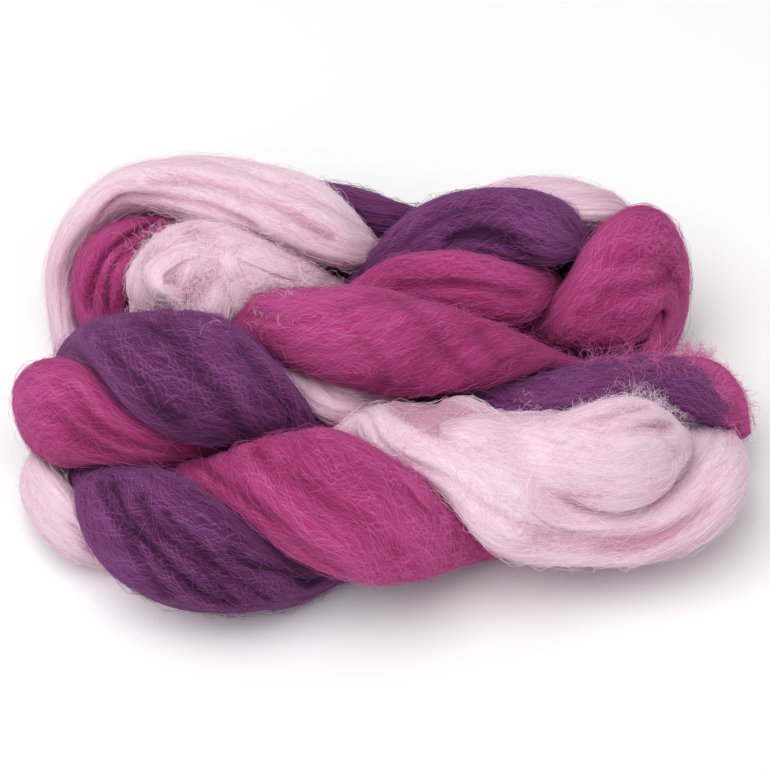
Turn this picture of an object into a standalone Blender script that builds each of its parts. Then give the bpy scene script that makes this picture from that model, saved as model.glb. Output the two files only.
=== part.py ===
"""A hank of wool roving: pink, magenta and purple combed top, laid together and twisted into a soft rope.

The rope is folded so that it runs along the middle row to the left, back along the front row, under the right
end to the back row, round a loop at the left and over the back row to the right. Each colour is one solid.
The tables are in millimetres and the solids in metres. +X runs along the rows, +Y towards the back row and
+Z up. The origin is under the middle of the hank, on the surface that it rests on.
"""

from typing import NamedTuple

import bpy
import numpy as np
from mathutils import Vector
from mathutils.bvhtree import BVHTree

MM = 0.001

RING_STEP = 9.0  # from one ring of a solid to the next
SIDES = 22  # corners of a ring
FULLNESS = 2.3  # power of a section's outline: 2 is an ellipse, and more is fuller
TIP_RINGS = 3  # rings that round off each end of a roving

TRACE_STEP = 4.0  # between the points that stand for a roving when another gives way to it
TRACE_REACH = 8.0  # how far each of those points counts along its roving
OWN_RUN = 50.0  # run of a roving, either side of a ring, that the ring doesn't give way to
CLEARANCE = 0.085  # gap between two rovings, as a share of their half sizes
BEND_SHARE = 0.7  # how far a ring reaches towards the middle of the bend that it is on
SPOKE_SHARES = np.linspace(0.12, 1.0, 15)  # where a spoke from the middle to a corner is tested
EVENINGS = 3  # times that the spokes are evened out
RUN_RINGS = 6  # rings in a run of roving when its surface is tested against the others
SPACING = 1.9  # least room between two surfaces
SEARCH = 9.0  # how far off a surface is looked for
DRAW_SHARE = 0.6  # how much of the missing room one draw makes
MOST_DRAW = 0.3  # most of a spoke that one draw takes off
DRAWS = 16
TANGENT_BLUR = 12.0  # run over which a roving's direction is evened out
FACE_BLUR = 16.0  # run over which the side that faces outwards is evened out


class Section(NamedTuple):
    """A section of a roving: its middle, its width, and its thickness outwards from the rope's core."""

    x: float
    y: float
    z: float
    wide: float
    thick: float


class Core(NamedTuple):
    """The line that a pass of the rope winds about, from its left end to its right end."""

    left: tuple[float, float, float]
    right: tuple[float, float, float]


class Stretch(NamedTuple):
    """A run of a roving in one pass of the rope."""

    core: Core
    sections: tuple[Section, ...]


FRONT = Core(left=(-86, -34, 14), right=(86, -40, 14))
MIDDLE = Core(left=(-86, -10, 24), right=(86, -12, 18))
BACK = Core(left=(-68, 40, 20), right=(60, 38, 22))

PINK = (
    # the loose end at the right
    Stretch(MIDDLE, (
        Section(  88,  -29,  31, 22,  6),
        Section(  83,  -33,  33, 34, 14),
        Section(  74,  -40,  37, 42, 20),
    )),
    # leftwards along the middle row
    Stretch(MIDDLE, (
        Section(  61,  -45,  39, 44, 22),
        Section(  48,  -42,  36, 42, 22),
        Section(  37,  -30,  28, 36, 16),
        Section(  26,  -22,  18, 28, 12),
        Section(  12,  -18,  18, 24, 12),
    )),
    # round the left end, over or under the other two
    Stretch(MIDDLE, (
        Section(  -3,  -11,  26, 20, 14),
        Section( -13,  -13,  31, 24, 16),
        Section( -24,   -6,  30, 24, 16),
        Section( -40,   -6,  24, 22, 14),
        Section( -60,   -7,  20, 24, 13),
        Section( -78,  -12,  18, 24, 11),
        Section( -92,  -12,  12, 24, 11),
    )),
    # rightwards along the front row
    Stretch(FRONT, (
        Section(-100,  -20,   9, 22, 12),
        Section( -99,  -27,  15, 24, 13),
        Section( -92,  -39,  18, 26, 16),
        Section( -84,  -46,  17, 24, 16),
        Section( -75,  -48,  11, 24, 12),
        Section( -54,  -58,   8, 26, 12),
        Section( -32,  -40,   9, 26, 12),
    )),
    # over the front row and round its right end
    Stretch(FRONT, (
        Section(  -5,  -21,  30, 22, 16),
        Section(   9,  -33,  35, 46, 28),
        Section(  25,  -40,  38, 46, 27),
        Section(  38,  -46,  35, 46, 26),
        Section(  51,  -47,  28, 36, 26),
        Section(  70,  -45,  24, 34, 26),
        Section(  85,  -38,  22, 34, 24),
        Section(  91,  -28,  22, 30, 22),
        Section(  92,  -14,  18, 26, 16),
        Section(  89,    2,   8, 24, 10),
    )),
    # under the right end to the back row
    Stretch(BACK, (
        Section(  78,   19,   5, 24, 10),
        Section(  65,   40,   8, 24, 12),
        Section(  68,   58,  17, 26, 14),
    )),
    # leftwards along the back row, underneath
    Stretch(BACK, (
        Section(  67,   58,  33, 26, 16),
        Section(  58,   54,  42, 34, 18),
        Section(  44,   53,  44, 34, 18),
        Section(  29,   53,  40, 28, 16),
        Section(  13,   52,  29, 22, 14),
        Section(   3,   46,  25, 20, 14),
    )),
    # round the loop at the back left
    Stretch(BACK, (
        Section(   0,   44,  28, 27, 15),
        Section( -10,   42,  37, 38, 23),
        Section( -24,   45,  44, 40, 26),
        Section( -43,   52,  45, 38, 26),
        Section( -61,   58,  43, 36, 24),
        Section( -76,   61,  39, 32, 20),
        Section( -88,   55,  33, 27, 17),
        Section( -95,   47,  26, 24, 14),
        Section( -95,   38,  18, 22, 14),
        Section( -92,   19,  10, 20, 12),
        Section( -84,   12,   8, 18, 11),
        Section( -72,   10,  14, 20, 13),
    )),
    # rightwards over the back row, to the hidden end
    Stretch(BACK, (
        Section( -59,   21,  29, 36, 18),
        Section( -57,   21,  40, 44, 24),
        Section( -52,   27,  44, 42, 25),
        Section( -40,   29,  43, 36, 23),
        Section( -25,   31,  39, 28, 18),
        Section( -17,   34,  33, 20, 12),
        Section( -12,   36,  30, 10,  7),
    )),
)

MAGENTA = (
    # the loose end at the right
    Stretch(MIDDLE, (
        Section( 107,  -10,  14, 12,  8),
        Section( 103,   -3,  17, 22,  9),
        Section(  94,    6,  20, 22,  9),
    )),
    # leftwards along the middle row
    Stretch(MIDDLE, (
        Section(  77,    5,  22, 20, 10),
        Section(  61,    3,  24, 20, 11),
        Section(  49,    3,  28, 21, 13),
        Section(  39,    1,  34, 26, 18),
        Section(  27,    0,  39, 34, 24),
        Section(   8,    0,  42, 40, 30),
        Section( -14,    4,  43, 40, 30),
        Section( -32,   15,  36, 32, 24),
        Section( -42,    6,  20, 24, 16),
        Section( -48,   -8,  13, 22, 14),
    )),
    # round the left end, over or under the other two
    Stretch(MIDDLE, (
        Section( -52,  -26,  24, 22, 16),
        Section( -63,  -31,  33, 30, 20),
        Section( -76,  -29,  37, 34, 22),
        Section( -88,  -21,  36, 42, 24),
        Section( -99,  -15,  28, 38, 18),
        Section( -99,  -22,  21, 28,  9),
        Section( -86,  -18,  17, 26,  9),
    )),
    # rightwards along the front row
    Stretch(FRONT, (
        Section( -64,  -26,  18, 24, 14),
        Section( -53,  -33,  26, 28, 20),
        Section( -38,  -44,  33, 38, 28),
        Section( -19,  -52,  36, 44, 34),
        Section(   0,  -51,  34, 45, 31),
        Section(  15,  -50,  27, 38, 26),
        Section(  27,  -47,  16, 24, 16),
        Section(  42,  -41,   9, 26, 12),
        Section(  58,  -26,   8, 24, 12),
    )),
    # under the right end to the back row
    Stretch(BACK, (
        Section(  68,   -8,   9, 24, 12),
        Section(  76,    8,  19, 24, 10),
        Section(  84,   27,  22, 26, 11),
        Section(  80,   35,  34, 50, 20),
        Section(  69,   29,  39, 52, 26),
        Section(  57,   25,  33, 36, 24),
        Section(  50,   27,  24, 24, 19),
    )),
    # leftwards along the back row, underneath
    Stretch(BACK, (
        Section(  36,   38,  14, 26, 14),
        Section(   8,   50,  14, 26, 14),
        Section( -24,   53,  19, 26, 15),
    )),
    # round the loop at the back left
    Stretch(BACK, (
        Section( -58,   53,  37, 20, 13),
        Section( -70,   52,  38, 28, 18),
        Section( -83,   45,  35, 34, 20),
        Section( -87,   36,  28, 36, 20),
        Section( -82,   24,  16, 26, 14),
        Section( -71,   21,   8, 26, 12),
        Section( -52,   20,   6, 26, 11),
        Section( -34,   20,   9, 24, 13),
        Section( -18,   21,  22, 24, 15),
    )),
    # rightwards over the back row, to the hidden end
    Stretch(BACK, (
        Section(   2,   27,  37, 26, 20),
        Section(  17,   22,  44, 28, 24),
        Section(  34,   21,  44, 28, 24),
        Section(  48,   29,  35, 22, 18),
        Section(  56,   36,  26, 14, 10),
    )),
)

PURPLE = (
    # the loose end at the right
    Stretch(MIDDLE, (
        Section( 101,  -14,  22,  8,  7),
        Section(  96,  -11,  27, 22, 14),
        Section(  86,   -8,  30, 28, 18),
    )),
    # leftwards along the middle row
    Stretch(MIDDLE, (
        Section(  70,   -7,  31, 34, 20),
        Section(  53,   -6,  30, 34, 20),
        Section(  35,   -5,  27, 30, 18),
        Section(  20,   -4,  20, 24, 16),
        Section(  -6,   -8,  14, 24, 14),
    )),
    # round the left end, over or under the other two
    Stretch(MIDDLE, (
        Section( -25,  -15,  22, 22, 14),
        Section( -32,  -22,  34, 28, 20),
        Section( -44,  -23,  44, 38, 27),
        Section( -59,  -18,  49, 44, 29),
        Section( -71,   -8,  46, 38, 26),
        Section( -79,    4,  36, 28, 18),
        Section( -87,    8,  20, 24, 13),
        Section( -81,    2,   9, 24, 10),
        Section( -77,   -9,   6, 24, 10),
    )),
    # rightwards along the front row
    Stretch(FRONT, (
        Section( -85,  -22,  12, 24, 12),
        Section( -78,  -40,  25, 36, 24),
        Section( -64,  -55,  28, 40, 26),
        Section( -48,  -62,  26, 38, 26),
        Section( -33,  -63,  19, 30, 20),
        Section( -23,  -58,  10, 24, 14),
        Section(   0,  -43,   8, 24, 12),
        Section(  30,  -30,   8, 24, 12),
        Section(  47,   -6,   8, 24, 12),
    )),
    # under the right end to the back row
    Stretch(BACK, (
        Section(  58,   16,  12, 24, 12),
        Section(  56,   38,  18, 24, 14),
        Section(  48,   53,  19, 24, 14),
    )),
    # leftwards along the back row, underneath
    Stretch(BACK, (
        Section(  28,   59,  14, 24, 14),
        Section(  10,   62,  20, 24, 16),
    )),
    # round the loop at the back left
    Stretch(BACK, (
        Section(   1,   55,  34, 24, 16),
        Section( -11,   60,  35, 24, 16),
        Section( -26,   66,  31, 24, 14),
        Section( -46,   66,  21, 20, 13),
        Section( -51,   67,  25, 18, 12),
        Section( -70,   40,  21, 22, 14),
        Section( -60,   30,  18, 22, 14),
        Section( -40,   33,  20, 22, 13),
        Section( -22,   34,  21, 22, 13),
        Section( -10,   34,  26, 18, 12),
    )),
    # rightwards over the back row, to the hidden end
    Stretch(BACK, (
        Section(  -4,   35,  34, 24, 18),
        Section(   6,   36,  42, 28, 18),
        Section(  20,   39,  46, 34, 21),
        Section(  37,   38,  49, 36, 23),
        Section(  51,   34,  49, 36, 22),
        Section(  61,   36,  42, 28, 17),
        Section(  65,   41,  30, 14, 10),
    )),
)


ROVINGS = {"pink_roving": PINK, "magenta_roving": MAGENTA, "purple_roving": PURPLE}

ROUGHNESS = 0.9
COLOURS = {
    "pink_roving": (0.80, 0.60, 0.70),
    "magenta_roving": (0.36, 0.055, 0.17),
    "purple_roving": (0.14, 0.04, 0.12),
}


def unit(vectors):
    lengths = np.linalg.norm(vectors, axis=-1, keepdims=True)
    return vectors / np.maximum(lengths, 1e-9)


def softened(values, times):
    """The rows of values, each averaged with its neighbours so many times."""
    for _ in range(times):
        padded = np.concatenate([values[:1], values, values[-1:]])
        values = (padded[:-2] + 2 * padded[1:-1] + padded[2:]) / 4
    return values


def away_from(core, middle):
    """The direction from the nearest point of a core to a section's middle."""
    left, right = np.array(core.left), np.array(core.right)
    run = right - left
    share = np.clip((middle - left) @ run / (run @ run), 0, 1)
    return unit(middle - (left + share * run))


def smooth_rows(rows, step):
    """Rows about one step apart on a smooth curve through the given ones, and the length up to each."""
    ends = 2 * rows[[0, -1]] - rows[[1, -2]]
    padded = np.concatenate([ends[:1], rows, ends[1:]])
    t = np.linspace(0, 1, 20, endpoint=False)[:, None]
    runs = []
    for before, start, end, after in zip(padded, padded[1:], padded[2:], padded[3:]):
        slope = end - before
        square = 2 * before - 5 * start + 4 * end - after
        cube = 3 * (start - end) + after - before
        runs.append(start + (slope * t + square * t**2 + cube * t**3) / 2)
    fine = np.concatenate([*runs, rows[-1:]])
    moves = np.linalg.norm(np.diff(fine[:, :3], axis=0), axis=1)
    lengths = np.concatenate([[0], np.cumsum(moves)])
    places = np.linspace(0, lengths[-1], round(lengths[-1] / step) + 1)
    columns = [np.interp(places, lengths, column) for column in fine.T]
    return np.stack(columns, axis=1), places


class Strand:
    """A roving's middle line, with the half sizes and the directions of its section at each place."""

    def __init__(self, stretches, step):
        rows = []
        for stretch in stretches:
            for section in stretch.sections:
                middle = np.array(section[:3])
                rows.append([*section, *away_from(stretch.core, middle)])
        table, self.places = smooth_rows(np.array(rows), step)
        self.middles = table[:, :3]
        self.halves = table[:, 3:5] / 2
        along = np.gradient(self.middles, axis=0)
        self.along = unit(softened(along, int(TANGENT_BLUR / step) + 1))
        face = softened(table[:, 5:], int(FACE_BLUR / step) + 1)
        self.across = unit(np.cross(self.along, face))
        self.outward = np.cross(self.across, self.along)

    def depths(self, points):
        """How far each point is from each place: 1 is on the roving's surface there, and less is inside."""
        gaps = points[:, None] - self.middles
        total = np.zeros(gaps.shape[:2])
        wide, thick = self.halves.T
        halves = ((self.along, TRACE_REACH), (self.across, wide), (self.outward, thick))
        for direction, half in halves:
            total += (np.einsum("pij,ij->pi", gaps, direction) / half) ** 2
        return np.sqrt(total)


def outline():
    """A ring's corners as shares of the half width and the half thickness."""
    turn = np.linspace(0, 2 * np.pi, SIDES, endpoint=False)
    corners = np.stack([np.cos(turn), np.sin(turn)], axis=1)
    reach = (np.abs(corners) ** FULLNESS).sum(axis=1) ** (-1 / FULLNESS)
    return corners * reach[:, None]


def intrusion(points, places, name, traces):
    """How far each point is past where its roving gives way to the others and to its own folds."""
    own = traces[name].depths(points)
    nearby = np.abs(traces[name].places - places[:, None]) < OWN_RUN
    other = np.where(nearby, np.inf, own).min(axis=1)
    for neighbour, trace in traces.items():
        if neighbour != name:
            other = np.minimum(other, trace.depths(points).min(axis=1))
    return np.where(nearby, own, np.inf).min(axis=1) + CLEARANCE - other


def first_crossing(intrusions):
    """The share of each spoke at which its intrusion first passes zero, and 1 where none does."""
    past = intrusions > 0
    after = past.argmax(axis=0)
    before = np.maximum(after - 1, 0)
    low = np.take_along_axis(intrusions, before[None], axis=0)[0]
    high = np.take_along_axis(intrusions, after[None], axis=0)[0]
    part = np.where(after > 0, low / np.minimum(low - high, -1e-9), 0)
    share = SPOKE_SHARES[before] + part * (SPOKE_SHARES[after] - SPOKE_SHARES[before])
    return np.where(past.any(axis=0), share, 1.0)


def tip_shares(count):
    """How full each of a roving's rings is: less at the rounded ends."""
    from_end = np.minimum(np.arange(count), np.arange(count)[::-1])
    left = np.clip(TIP_RINGS - from_end, 0, None) / (TIP_RINGS + 0.25)
    return np.sqrt(1 - left**2)


class Roving:
    """One length of roving, as rings of corners about its middle line."""

    def __init__(self, name, stretches, traces):
        self.name = name
        self.strand = Strand(stretches, RING_STEP)
        wide, thick = outline().T
        self.spokes = self.strand.across[:, None] * (self.strand.halves[:, :1] * wide)[..., None]
        self.spokes += self.strand.outward[:, None] * (self.strand.halves[:, 1:] * thick)[..., None]
        self.shares = np.minimum(self.shares_clear_of(traces), self.shares_in_bends())
        self.even_out()
        self.shares *= tip_shares(len(self.shares))[:, None]

    def shares_clear_of(self, traces):
        """How much of each spoke is clear of the other rovings and of this one's own folds."""
        places = np.repeat(self.strand.places, SIDES)
        tested = []
        for share in SPOKE_SHARES:
            points = self.strand.middles[:, None] + share * self.spokes
            tested.append(intrusion(points.reshape(-1, 3), places, self.name, traces))
        return first_crossing(np.stack(tested)).reshape(-1, SIDES)

    def shares_in_bends(self):
        """How much of each spoke can be kept before the rings on the inside of a bend would cross."""
        bend = np.gradient(self.strand.along, self.strand.places, axis=0)
        inward = np.einsum("rsk,rk->rs", self.spokes, bend)
        return BEND_SHARE / np.maximum(inward, BEND_SHARE)

    def even_out(self):
        """Draws in the corners beside one that is drawn in, so that the surface stays soft."""
        for _ in range(EVENINGS):
            before, after = np.roll(self.shares, 1, axis=1), np.roll(self.shares, -1, axis=1)
            around = (before + 2 * self.shares + after) / 4
            self.shares = np.minimum(self.shares, softened(around, 1))

    def rings(self):
        """The corners in millimetres, flattened where the roving rests on the surface below."""
        rings = self.strand.middles[:, None] + self.spokes * self.shares[..., None]
        rings[..., 2] = np.maximum(rings[..., 2], 0)
        return rings

    def runs(self):
        """Search trees of the surface, a run of rings at a time, each with its first and last place."""
        rings = self.rings()
        for first in range(0, len(rings) - 1, RUN_RINGS):
            some = rings[first : first + RUN_RINGS + 1]
            tree = BVHTree.FromPolygons(some.reshape(-1, 3).tolist(), faces_of(len(some)))
            last = min(first + RUN_RINGS, len(rings) - 1)
            yield self.name, self.strand.places[first], self.strand.places[last], tree

    def draw_in(self, runs):
        """Shortens each spoke whose corner is inside another run of roving, or nearly touches it."""
        lengths = np.linalg.norm(self.spokes, axis=2)
        for ring, (place, corners) in enumerate(zip(self.strand.places, self.rings())):
            others = []
            for name, first, last, tree in runs:
                if name != self.name or not first - OWN_RUN < place < last + OWN_RUN:
                    others.append(tree)
            for side, corner in enumerate(corners):
                short = SPACING - min(room_outside(tree, corner) for tree in others)
                if short > 0:
                    cut = short * DRAW_SHARE / lengths[ring, side]
                    self.shares[ring, side] -= min(cut, MOST_DRAW * self.shares[ring, side])


def room_outside(tree, corner):
    """How far outside a surface a corner is, up to the least distance that matters, and below 0 inside it."""
    found, normal, _, distance = tree.find_nearest(corner, SEARCH)
    if found is None:
        return SEARCH
    return distance if (Vector(corner) - found).dot(normal) > 0 else -distance


def faces_of(count):
    """The four-sided faces between so many rings, facing outwards."""
    faces = []
    for start in range(0, (count - 1) * SIDES, SIDES):
        for side in range(SIDES):
            after = (side + 1) % SIDES
            faces.append((start + side, start + SIDES + side, start + SIDES + after, start + after))
    return faces


def add_solid(name, rings):
    """A closed solid through the rings, with a flat cap on each end."""
    last = (len(rings) - 1) * SIDES
    caps = [tuple(range(SIDES)), tuple(range(last + SIDES - 1, last - 1, -1))]
    mesh = bpy.data.meshes.new(name)
    mesh.from_pydata((rings.reshape(-1, 3) * MM).tolist(), [], faces_of(len(rings)) + caps)
    mesh.validate()
    mesh.shade_smooth()
    mesh.materials.append(wool(name, COLOURS[name]))
    bpy.context.scene.collection.objects.link(bpy.data.objects.new(name, mesh))


def wool(name, colour):
    """A dull, non-metallic material of one colour."""
    material = bpy.data.materials.new(name)
    material.use_nodes = True
    surface = material.node_tree.nodes["Principled BSDF"]
    surface.inputs["Base Color"].default_value = (*colour, 1)
    surface.inputs["Roughness"].default_value = ROUGHNESS
    surface.inputs["Metallic"].default_value = 0
    return material


def main():
    for old in list(bpy.data.objects):
        bpy.data.objects.remove(old)
    traces = {name: Strand(stretches, TRACE_STEP) for name, stretches in ROVINGS.items()}
    rovings = [Roving(name, stretches, traces) for name, stretches in ROVINGS.items()]
    for _ in range(DRAWS):
        runs = [run for roving in rovings for run in roving.runs()]
        for roving in rovings:
            roving.draw_in(runs)
    for roving in rovings:
        add_solid(roving.name, roving.rings())


main()
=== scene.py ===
"""The looks of a hank of wool roving: three lengths of combed top twisted into a soft rope and folded.

Each length is a dense, furrowed surface with a coat of fine locks lying along it, loose hairs standing off
it and frayed fibres at its loose end. Tables and small sizes are in millimetres and the finished pieces in
metres. +X runs along the rows, +Y towards the back row and +Z up.
"""

from __future__ import annotations

import logging
import math
from dataclasses import dataclass
from enum import Enum
from typing import Any, NamedTuple

import bpy
import numpy as np
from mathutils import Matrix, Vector
from mathutils.bvhtree import BVHTree

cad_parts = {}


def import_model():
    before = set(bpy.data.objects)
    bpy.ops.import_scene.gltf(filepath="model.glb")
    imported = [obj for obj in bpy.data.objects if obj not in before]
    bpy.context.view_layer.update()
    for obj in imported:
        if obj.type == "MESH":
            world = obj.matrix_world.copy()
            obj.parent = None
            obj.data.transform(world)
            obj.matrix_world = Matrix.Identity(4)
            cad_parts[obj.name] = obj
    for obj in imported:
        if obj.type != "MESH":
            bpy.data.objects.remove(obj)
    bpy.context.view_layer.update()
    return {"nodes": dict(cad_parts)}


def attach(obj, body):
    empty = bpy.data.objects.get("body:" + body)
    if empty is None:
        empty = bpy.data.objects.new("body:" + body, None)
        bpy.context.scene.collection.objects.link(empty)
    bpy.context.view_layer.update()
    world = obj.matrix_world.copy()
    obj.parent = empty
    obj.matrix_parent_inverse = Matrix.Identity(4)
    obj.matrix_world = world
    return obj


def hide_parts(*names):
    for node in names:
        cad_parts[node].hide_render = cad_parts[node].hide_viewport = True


MM = 0.001
UV_NAME = "UVMap"
LAY_NAME = "lay"
OPEN_NAME = "openness"
TONE_AND_SHADE_NAME = "tone"
SLANT_NAME = "slant"
PER_METRE = 1000
LEAST_HEIGHT = 0.05  # of a surface over the floor
TONE_LEVEL = 0.5  # tone of a corner that is neither raised nor pressed in
PAINTED_LIGHT_AND_SHADE_PER_MM = 0.22  # painted light and shade: how much lighter the colour is painted for each millimetre that it is raised, and darker where it is pressed in
GOLDEN_TURN = math.pi * (3 - math.sqrt(5))
OPEN_SKIP = 3  # rings and sides from one corner where the free room is measured to the next
OPEN_START = 1.6  # how far off the surface that starts
OPEN_HEIGHTS = np.linspace(-0.15, 0.95, 14)  # how steeply up each direction looked in goes
OPEN_WAYS = 7  # free directions that make a corner wholly open
OPEN_LEAST = 0.05  # how far a direction is off the surface at least
OPEN_EVENING = 3  # how many times the free room is evened out
LOCK_SEED, HAIR_SEED = 11, 12  # what tells the two coats' random draws from the skin's
SHORT_OF_END = 0.001  # how far before the end of its line a fibre starts at least, in runs of the line
NEAR_UPRIGHT = (0.13, 0.21, 0.97)  # a direction that no fibre lies along

log = logging.getLogger("wool_roving")


class Core(Enum):
    """The line that a pass of the rope winds about, as its left end and its right end."""

    FRONT = ((-86, -34, 14), (86, -40, 14))
    MIDDLE = ((-86, -10, 24), (86, -12, 18))
    BACK = ((-68, 40, 20), (60, 38, 22))


class Stretch(NamedTuple):
    """A run of a roving in one pass.

    Args:
        core: the line that it winds about.
        rows: x, y, z, width and thickness of a section in each.
    """

    core: Core
    rows: tuple[tuple[float, float, float, float, float], ...]


PINK_ROUTE = (
    # the loose end at the right
    Stretch(Core.MIDDLE, (
        (88, -29, 31, 22, 6), (83, -33, 33, 34, 14), (74, -40, 37, 42, 20),
    )),
    # leftwards along the middle row
    Stretch(Core.MIDDLE, (
        (61, -45, 39, 44, 22), (48, -42, 36, 42, 22), (37, -30, 28, 36, 16), (26, -22, 18, 28, 12),
        (12, -18, 18, 24, 12),
    )),
    # round the left end
    Stretch(Core.MIDDLE, (
        (-3, -11, 26, 20, 14), (-13, -13, 31, 24, 16), (-24, -6, 30, 24, 16), (-40, -6, 24, 22, 14),
        (-60, -7, 20, 24, 13), (-78, -12, 18, 24, 11), (-92, -12, 12, 24, 11),
    )),
    # rightwards along the front row
    Stretch(Core.FRONT, (
        (-100, -20, 9, 22, 12), (-99, -27, 15, 24, 13), (-92, -39, 18, 26, 16), (-84, -46, 17, 24, 16),
        (-75, -48, 11, 24, 12), (-54, -58, 8, 26, 12), (-32, -40, 9, 26, 12),
    )),
    # over the front row and round its right end
    Stretch(Core.FRONT, (
        (-5, -21, 30, 22, 16), (9, -33, 35, 46, 28), (25, -40, 38, 46, 27), (38, -46, 35, 46, 26),
        (51, -47, 28, 36, 26), (70, -45, 24, 34, 26), (85, -38, 22, 34, 24), (91, -28, 22, 30, 22),
        (92, -14, 18, 26, 16), (89, 2, 8, 24, 10),
    )),
    # under the right end to the back row
    Stretch(Core.BACK, (
        (78, 19, 5, 24, 10), (65, 40, 8, 24, 12), (68, 58, 17, 26, 14),
    )),
    # leftwards along the back row, underneath
    Stretch(Core.BACK, (
        (67, 58, 33, 26, 16), (58, 54, 42, 34, 18), (44, 53, 44, 34, 18), (29, 53, 40, 28, 16),
        (13, 52, 29, 22, 14), (3, 46, 25, 20, 14),
    )),
    # round the loop at the back left
    Stretch(Core.BACK, (
        (0, 44, 28, 27, 15), (-10, 42, 37, 38, 23), (-24, 45, 44, 40, 26), (-43, 52, 45, 38, 26),
        (-61, 58, 43, 36, 24), (-76, 61, 39, 32, 20), (-88, 55, 33, 27, 17), (-95, 47, 26, 24, 14),
        (-95, 38, 18, 22, 14), (-92, 19, 10, 20, 12), (-84, 12, 8, 18, 11), (-72, 10, 14, 20, 13),
    )),
    # rightwards over the back row
    Stretch(Core.BACK, (
        (-59, 21, 29, 36, 18), (-57, 21, 40, 44, 24), (-52, 27, 44, 42, 25), (-40, 29, 43, 36, 23),
        (-25, 31, 39, 28, 18), (-17, 34, 33, 20, 12), (-12, 36, 30, 10, 7),
    )),
)

MAGENTA_ROUTE = (
    # the loose end at the right
    Stretch(Core.MIDDLE, (
        (107, -10, 14, 12, 8), (103, -3, 17, 22, 9), (94, 6, 20, 22, 9),
    )),
    # leftwards along the middle row
    Stretch(Core.MIDDLE, (
        (77, 5, 22, 20, 10), (61, 3, 24, 20, 11), (49, 3, 28, 21, 13), (39, 1, 34, 26, 18),
        (27, 0, 39, 34, 24), (8, 0, 42, 40, 30), (-14, 4, 43, 40, 30), (-32, 15, 36, 32, 24),
        (-42, 6, 20, 24, 16), (-48, -8, 13, 22, 14),
    )),
    # round the left end
    Stretch(Core.MIDDLE, (
        (-52, -26, 24, 22, 16), (-63, -31, 33, 30, 20), (-76, -29, 37, 34, 22), (-88, -21, 36, 42, 24),
        (-99, -15, 28, 38, 18), (-99, -22, 21, 28, 9), (-86, -18, 17, 26, 9),
    )),
    # rightwards along the front row
    Stretch(Core.FRONT, (
        (-64, -26, 18, 24, 14), (-53, -33, 26, 28, 20), (-38, -44, 33, 38, 28), (-19, -52, 36, 44, 34),
        (0, -51, 34, 45, 31), (15, -50, 27, 38, 26), (27, -47, 16, 24, 16), (42, -41, 9, 26, 12),
        (58, -26, 8, 24, 12),
    )),
    # under the right end to the back row
    Stretch(Core.BACK, (
        (68, -8, 9, 24, 12), (76, 8, 19, 24, 10), (84, 27, 22, 26, 11), (80, 35, 34, 50, 20),
        (69, 29, 39, 52, 26), (57, 25, 33, 36, 24), (50, 27, 24, 24, 19),
    )),
    # leftwards along the back row, underneath
    Stretch(Core.BACK, (
        (36, 38, 14, 26, 14), (8, 50, 14, 26, 14), (-24, 53, 19, 26, 15),
    )),
    # round the loop at the back left
    Stretch(Core.BACK, (
        (-58, 53, 37, 20, 13), (-70, 52, 38, 28, 18), (-83, 45, 35, 34, 20), (-87, 36, 28, 36, 20),
        (-82, 24, 16, 26, 14), (-71, 21, 8, 26, 12), (-52, 20, 6, 26, 11), (-34, 20, 9, 24, 13),
        (-18, 21, 22, 24, 15),
    )),
    # rightwards over the back row
    Stretch(Core.BACK, (
        (2, 27, 37, 26, 20), (17, 22, 44, 28, 24), (34, 21, 44, 28, 24), (48, 29, 35, 22, 18),
        (56, 36, 26, 14, 10),
    )),
)

PURPLE_ROUTE = (
    # the loose end at the right
    Stretch(Core.MIDDLE, (
        (101, -14, 22, 8, 7), (96, -11, 27, 22, 14), (86, -8, 30, 28, 18),
    )),
    # leftwards along the middle row
    Stretch(Core.MIDDLE, (
        (70, -7, 31, 34, 20), (53, -6, 30, 34, 20), (35, -5, 27, 30, 18), (20, -4, 20, 24, 16),
        (-6, -8, 14, 24, 14),
    )),
    # round the left end
    Stretch(Core.MIDDLE, (
        (-25, -15, 22, 22, 14), (-32, -22, 34, 28, 20), (-44, -23, 44, 38, 27), (-59, -18, 49, 44, 29),
        (-71, -8, 46, 38, 26), (-79, 4, 36, 28, 18), (-87, 8, 20, 24, 13), (-81, 2, 9, 24, 10),
        (-77, -9, 6, 24, 10),
    )),
    # rightwards along the front row
    Stretch(Core.FRONT, (
        (-85, -22, 12, 24, 12), (-78, -40, 25, 36, 24), (-64, -55, 28, 40, 26), (-48, -62, 26, 38, 26),
        (-33, -63, 19, 30, 20), (-23, -58, 10, 24, 14), (0, -43, 8, 24, 12), (30, -30, 8, 24, 12),
        (47, -6, 8, 24, 12),
    )),
    # under the right end to the back row
    Stretch(Core.BACK, (
        (58, 16, 12, 24, 12), (56, 38, 18, 24, 14), (48, 53, 19, 24, 14),
    )),
    # leftwards along the back row, underneath
    Stretch(Core.BACK, (
        (28, 59, 14, 24, 14), (10, 62, 20, 24, 16),
    )),
    # round the loop at the back left
    Stretch(Core.BACK, (
        (1, 55, 34, 24, 16), (-11, 60, 35, 24, 16), (-26, 66, 31, 24, 14), (-46, 66, 21, 20, 13),
        (-51, 67, 25, 18, 12), (-70, 40, 21, 22, 14), (-60, 30, 18, 22, 14), (-40, 33, 20, 22, 13),
        (-22, 34, 21, 22, 13), (-10, 34, 26, 18, 12),
    )),
    # rightwards over the back row
    Stretch(Core.BACK, (
        (-4, 35, 34, 24, 18), (6, 36, 42, 28, 18), (20, 39, 46, 34, 21), (37, 38, 49, 36, 23),
        (51, 34, 49, 36, 22), (61, 36, 42, 28, 17), (65, 41, 30, 14, 10),
    )),
)


def unit(vectors: np.ndarray) -> np.ndarray:
    """Returns the vectors at length 1."""
    return vectors / np.maximum(np.linalg.norm(vectors, axis=-1, keepdims=True), 1e-9)


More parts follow.
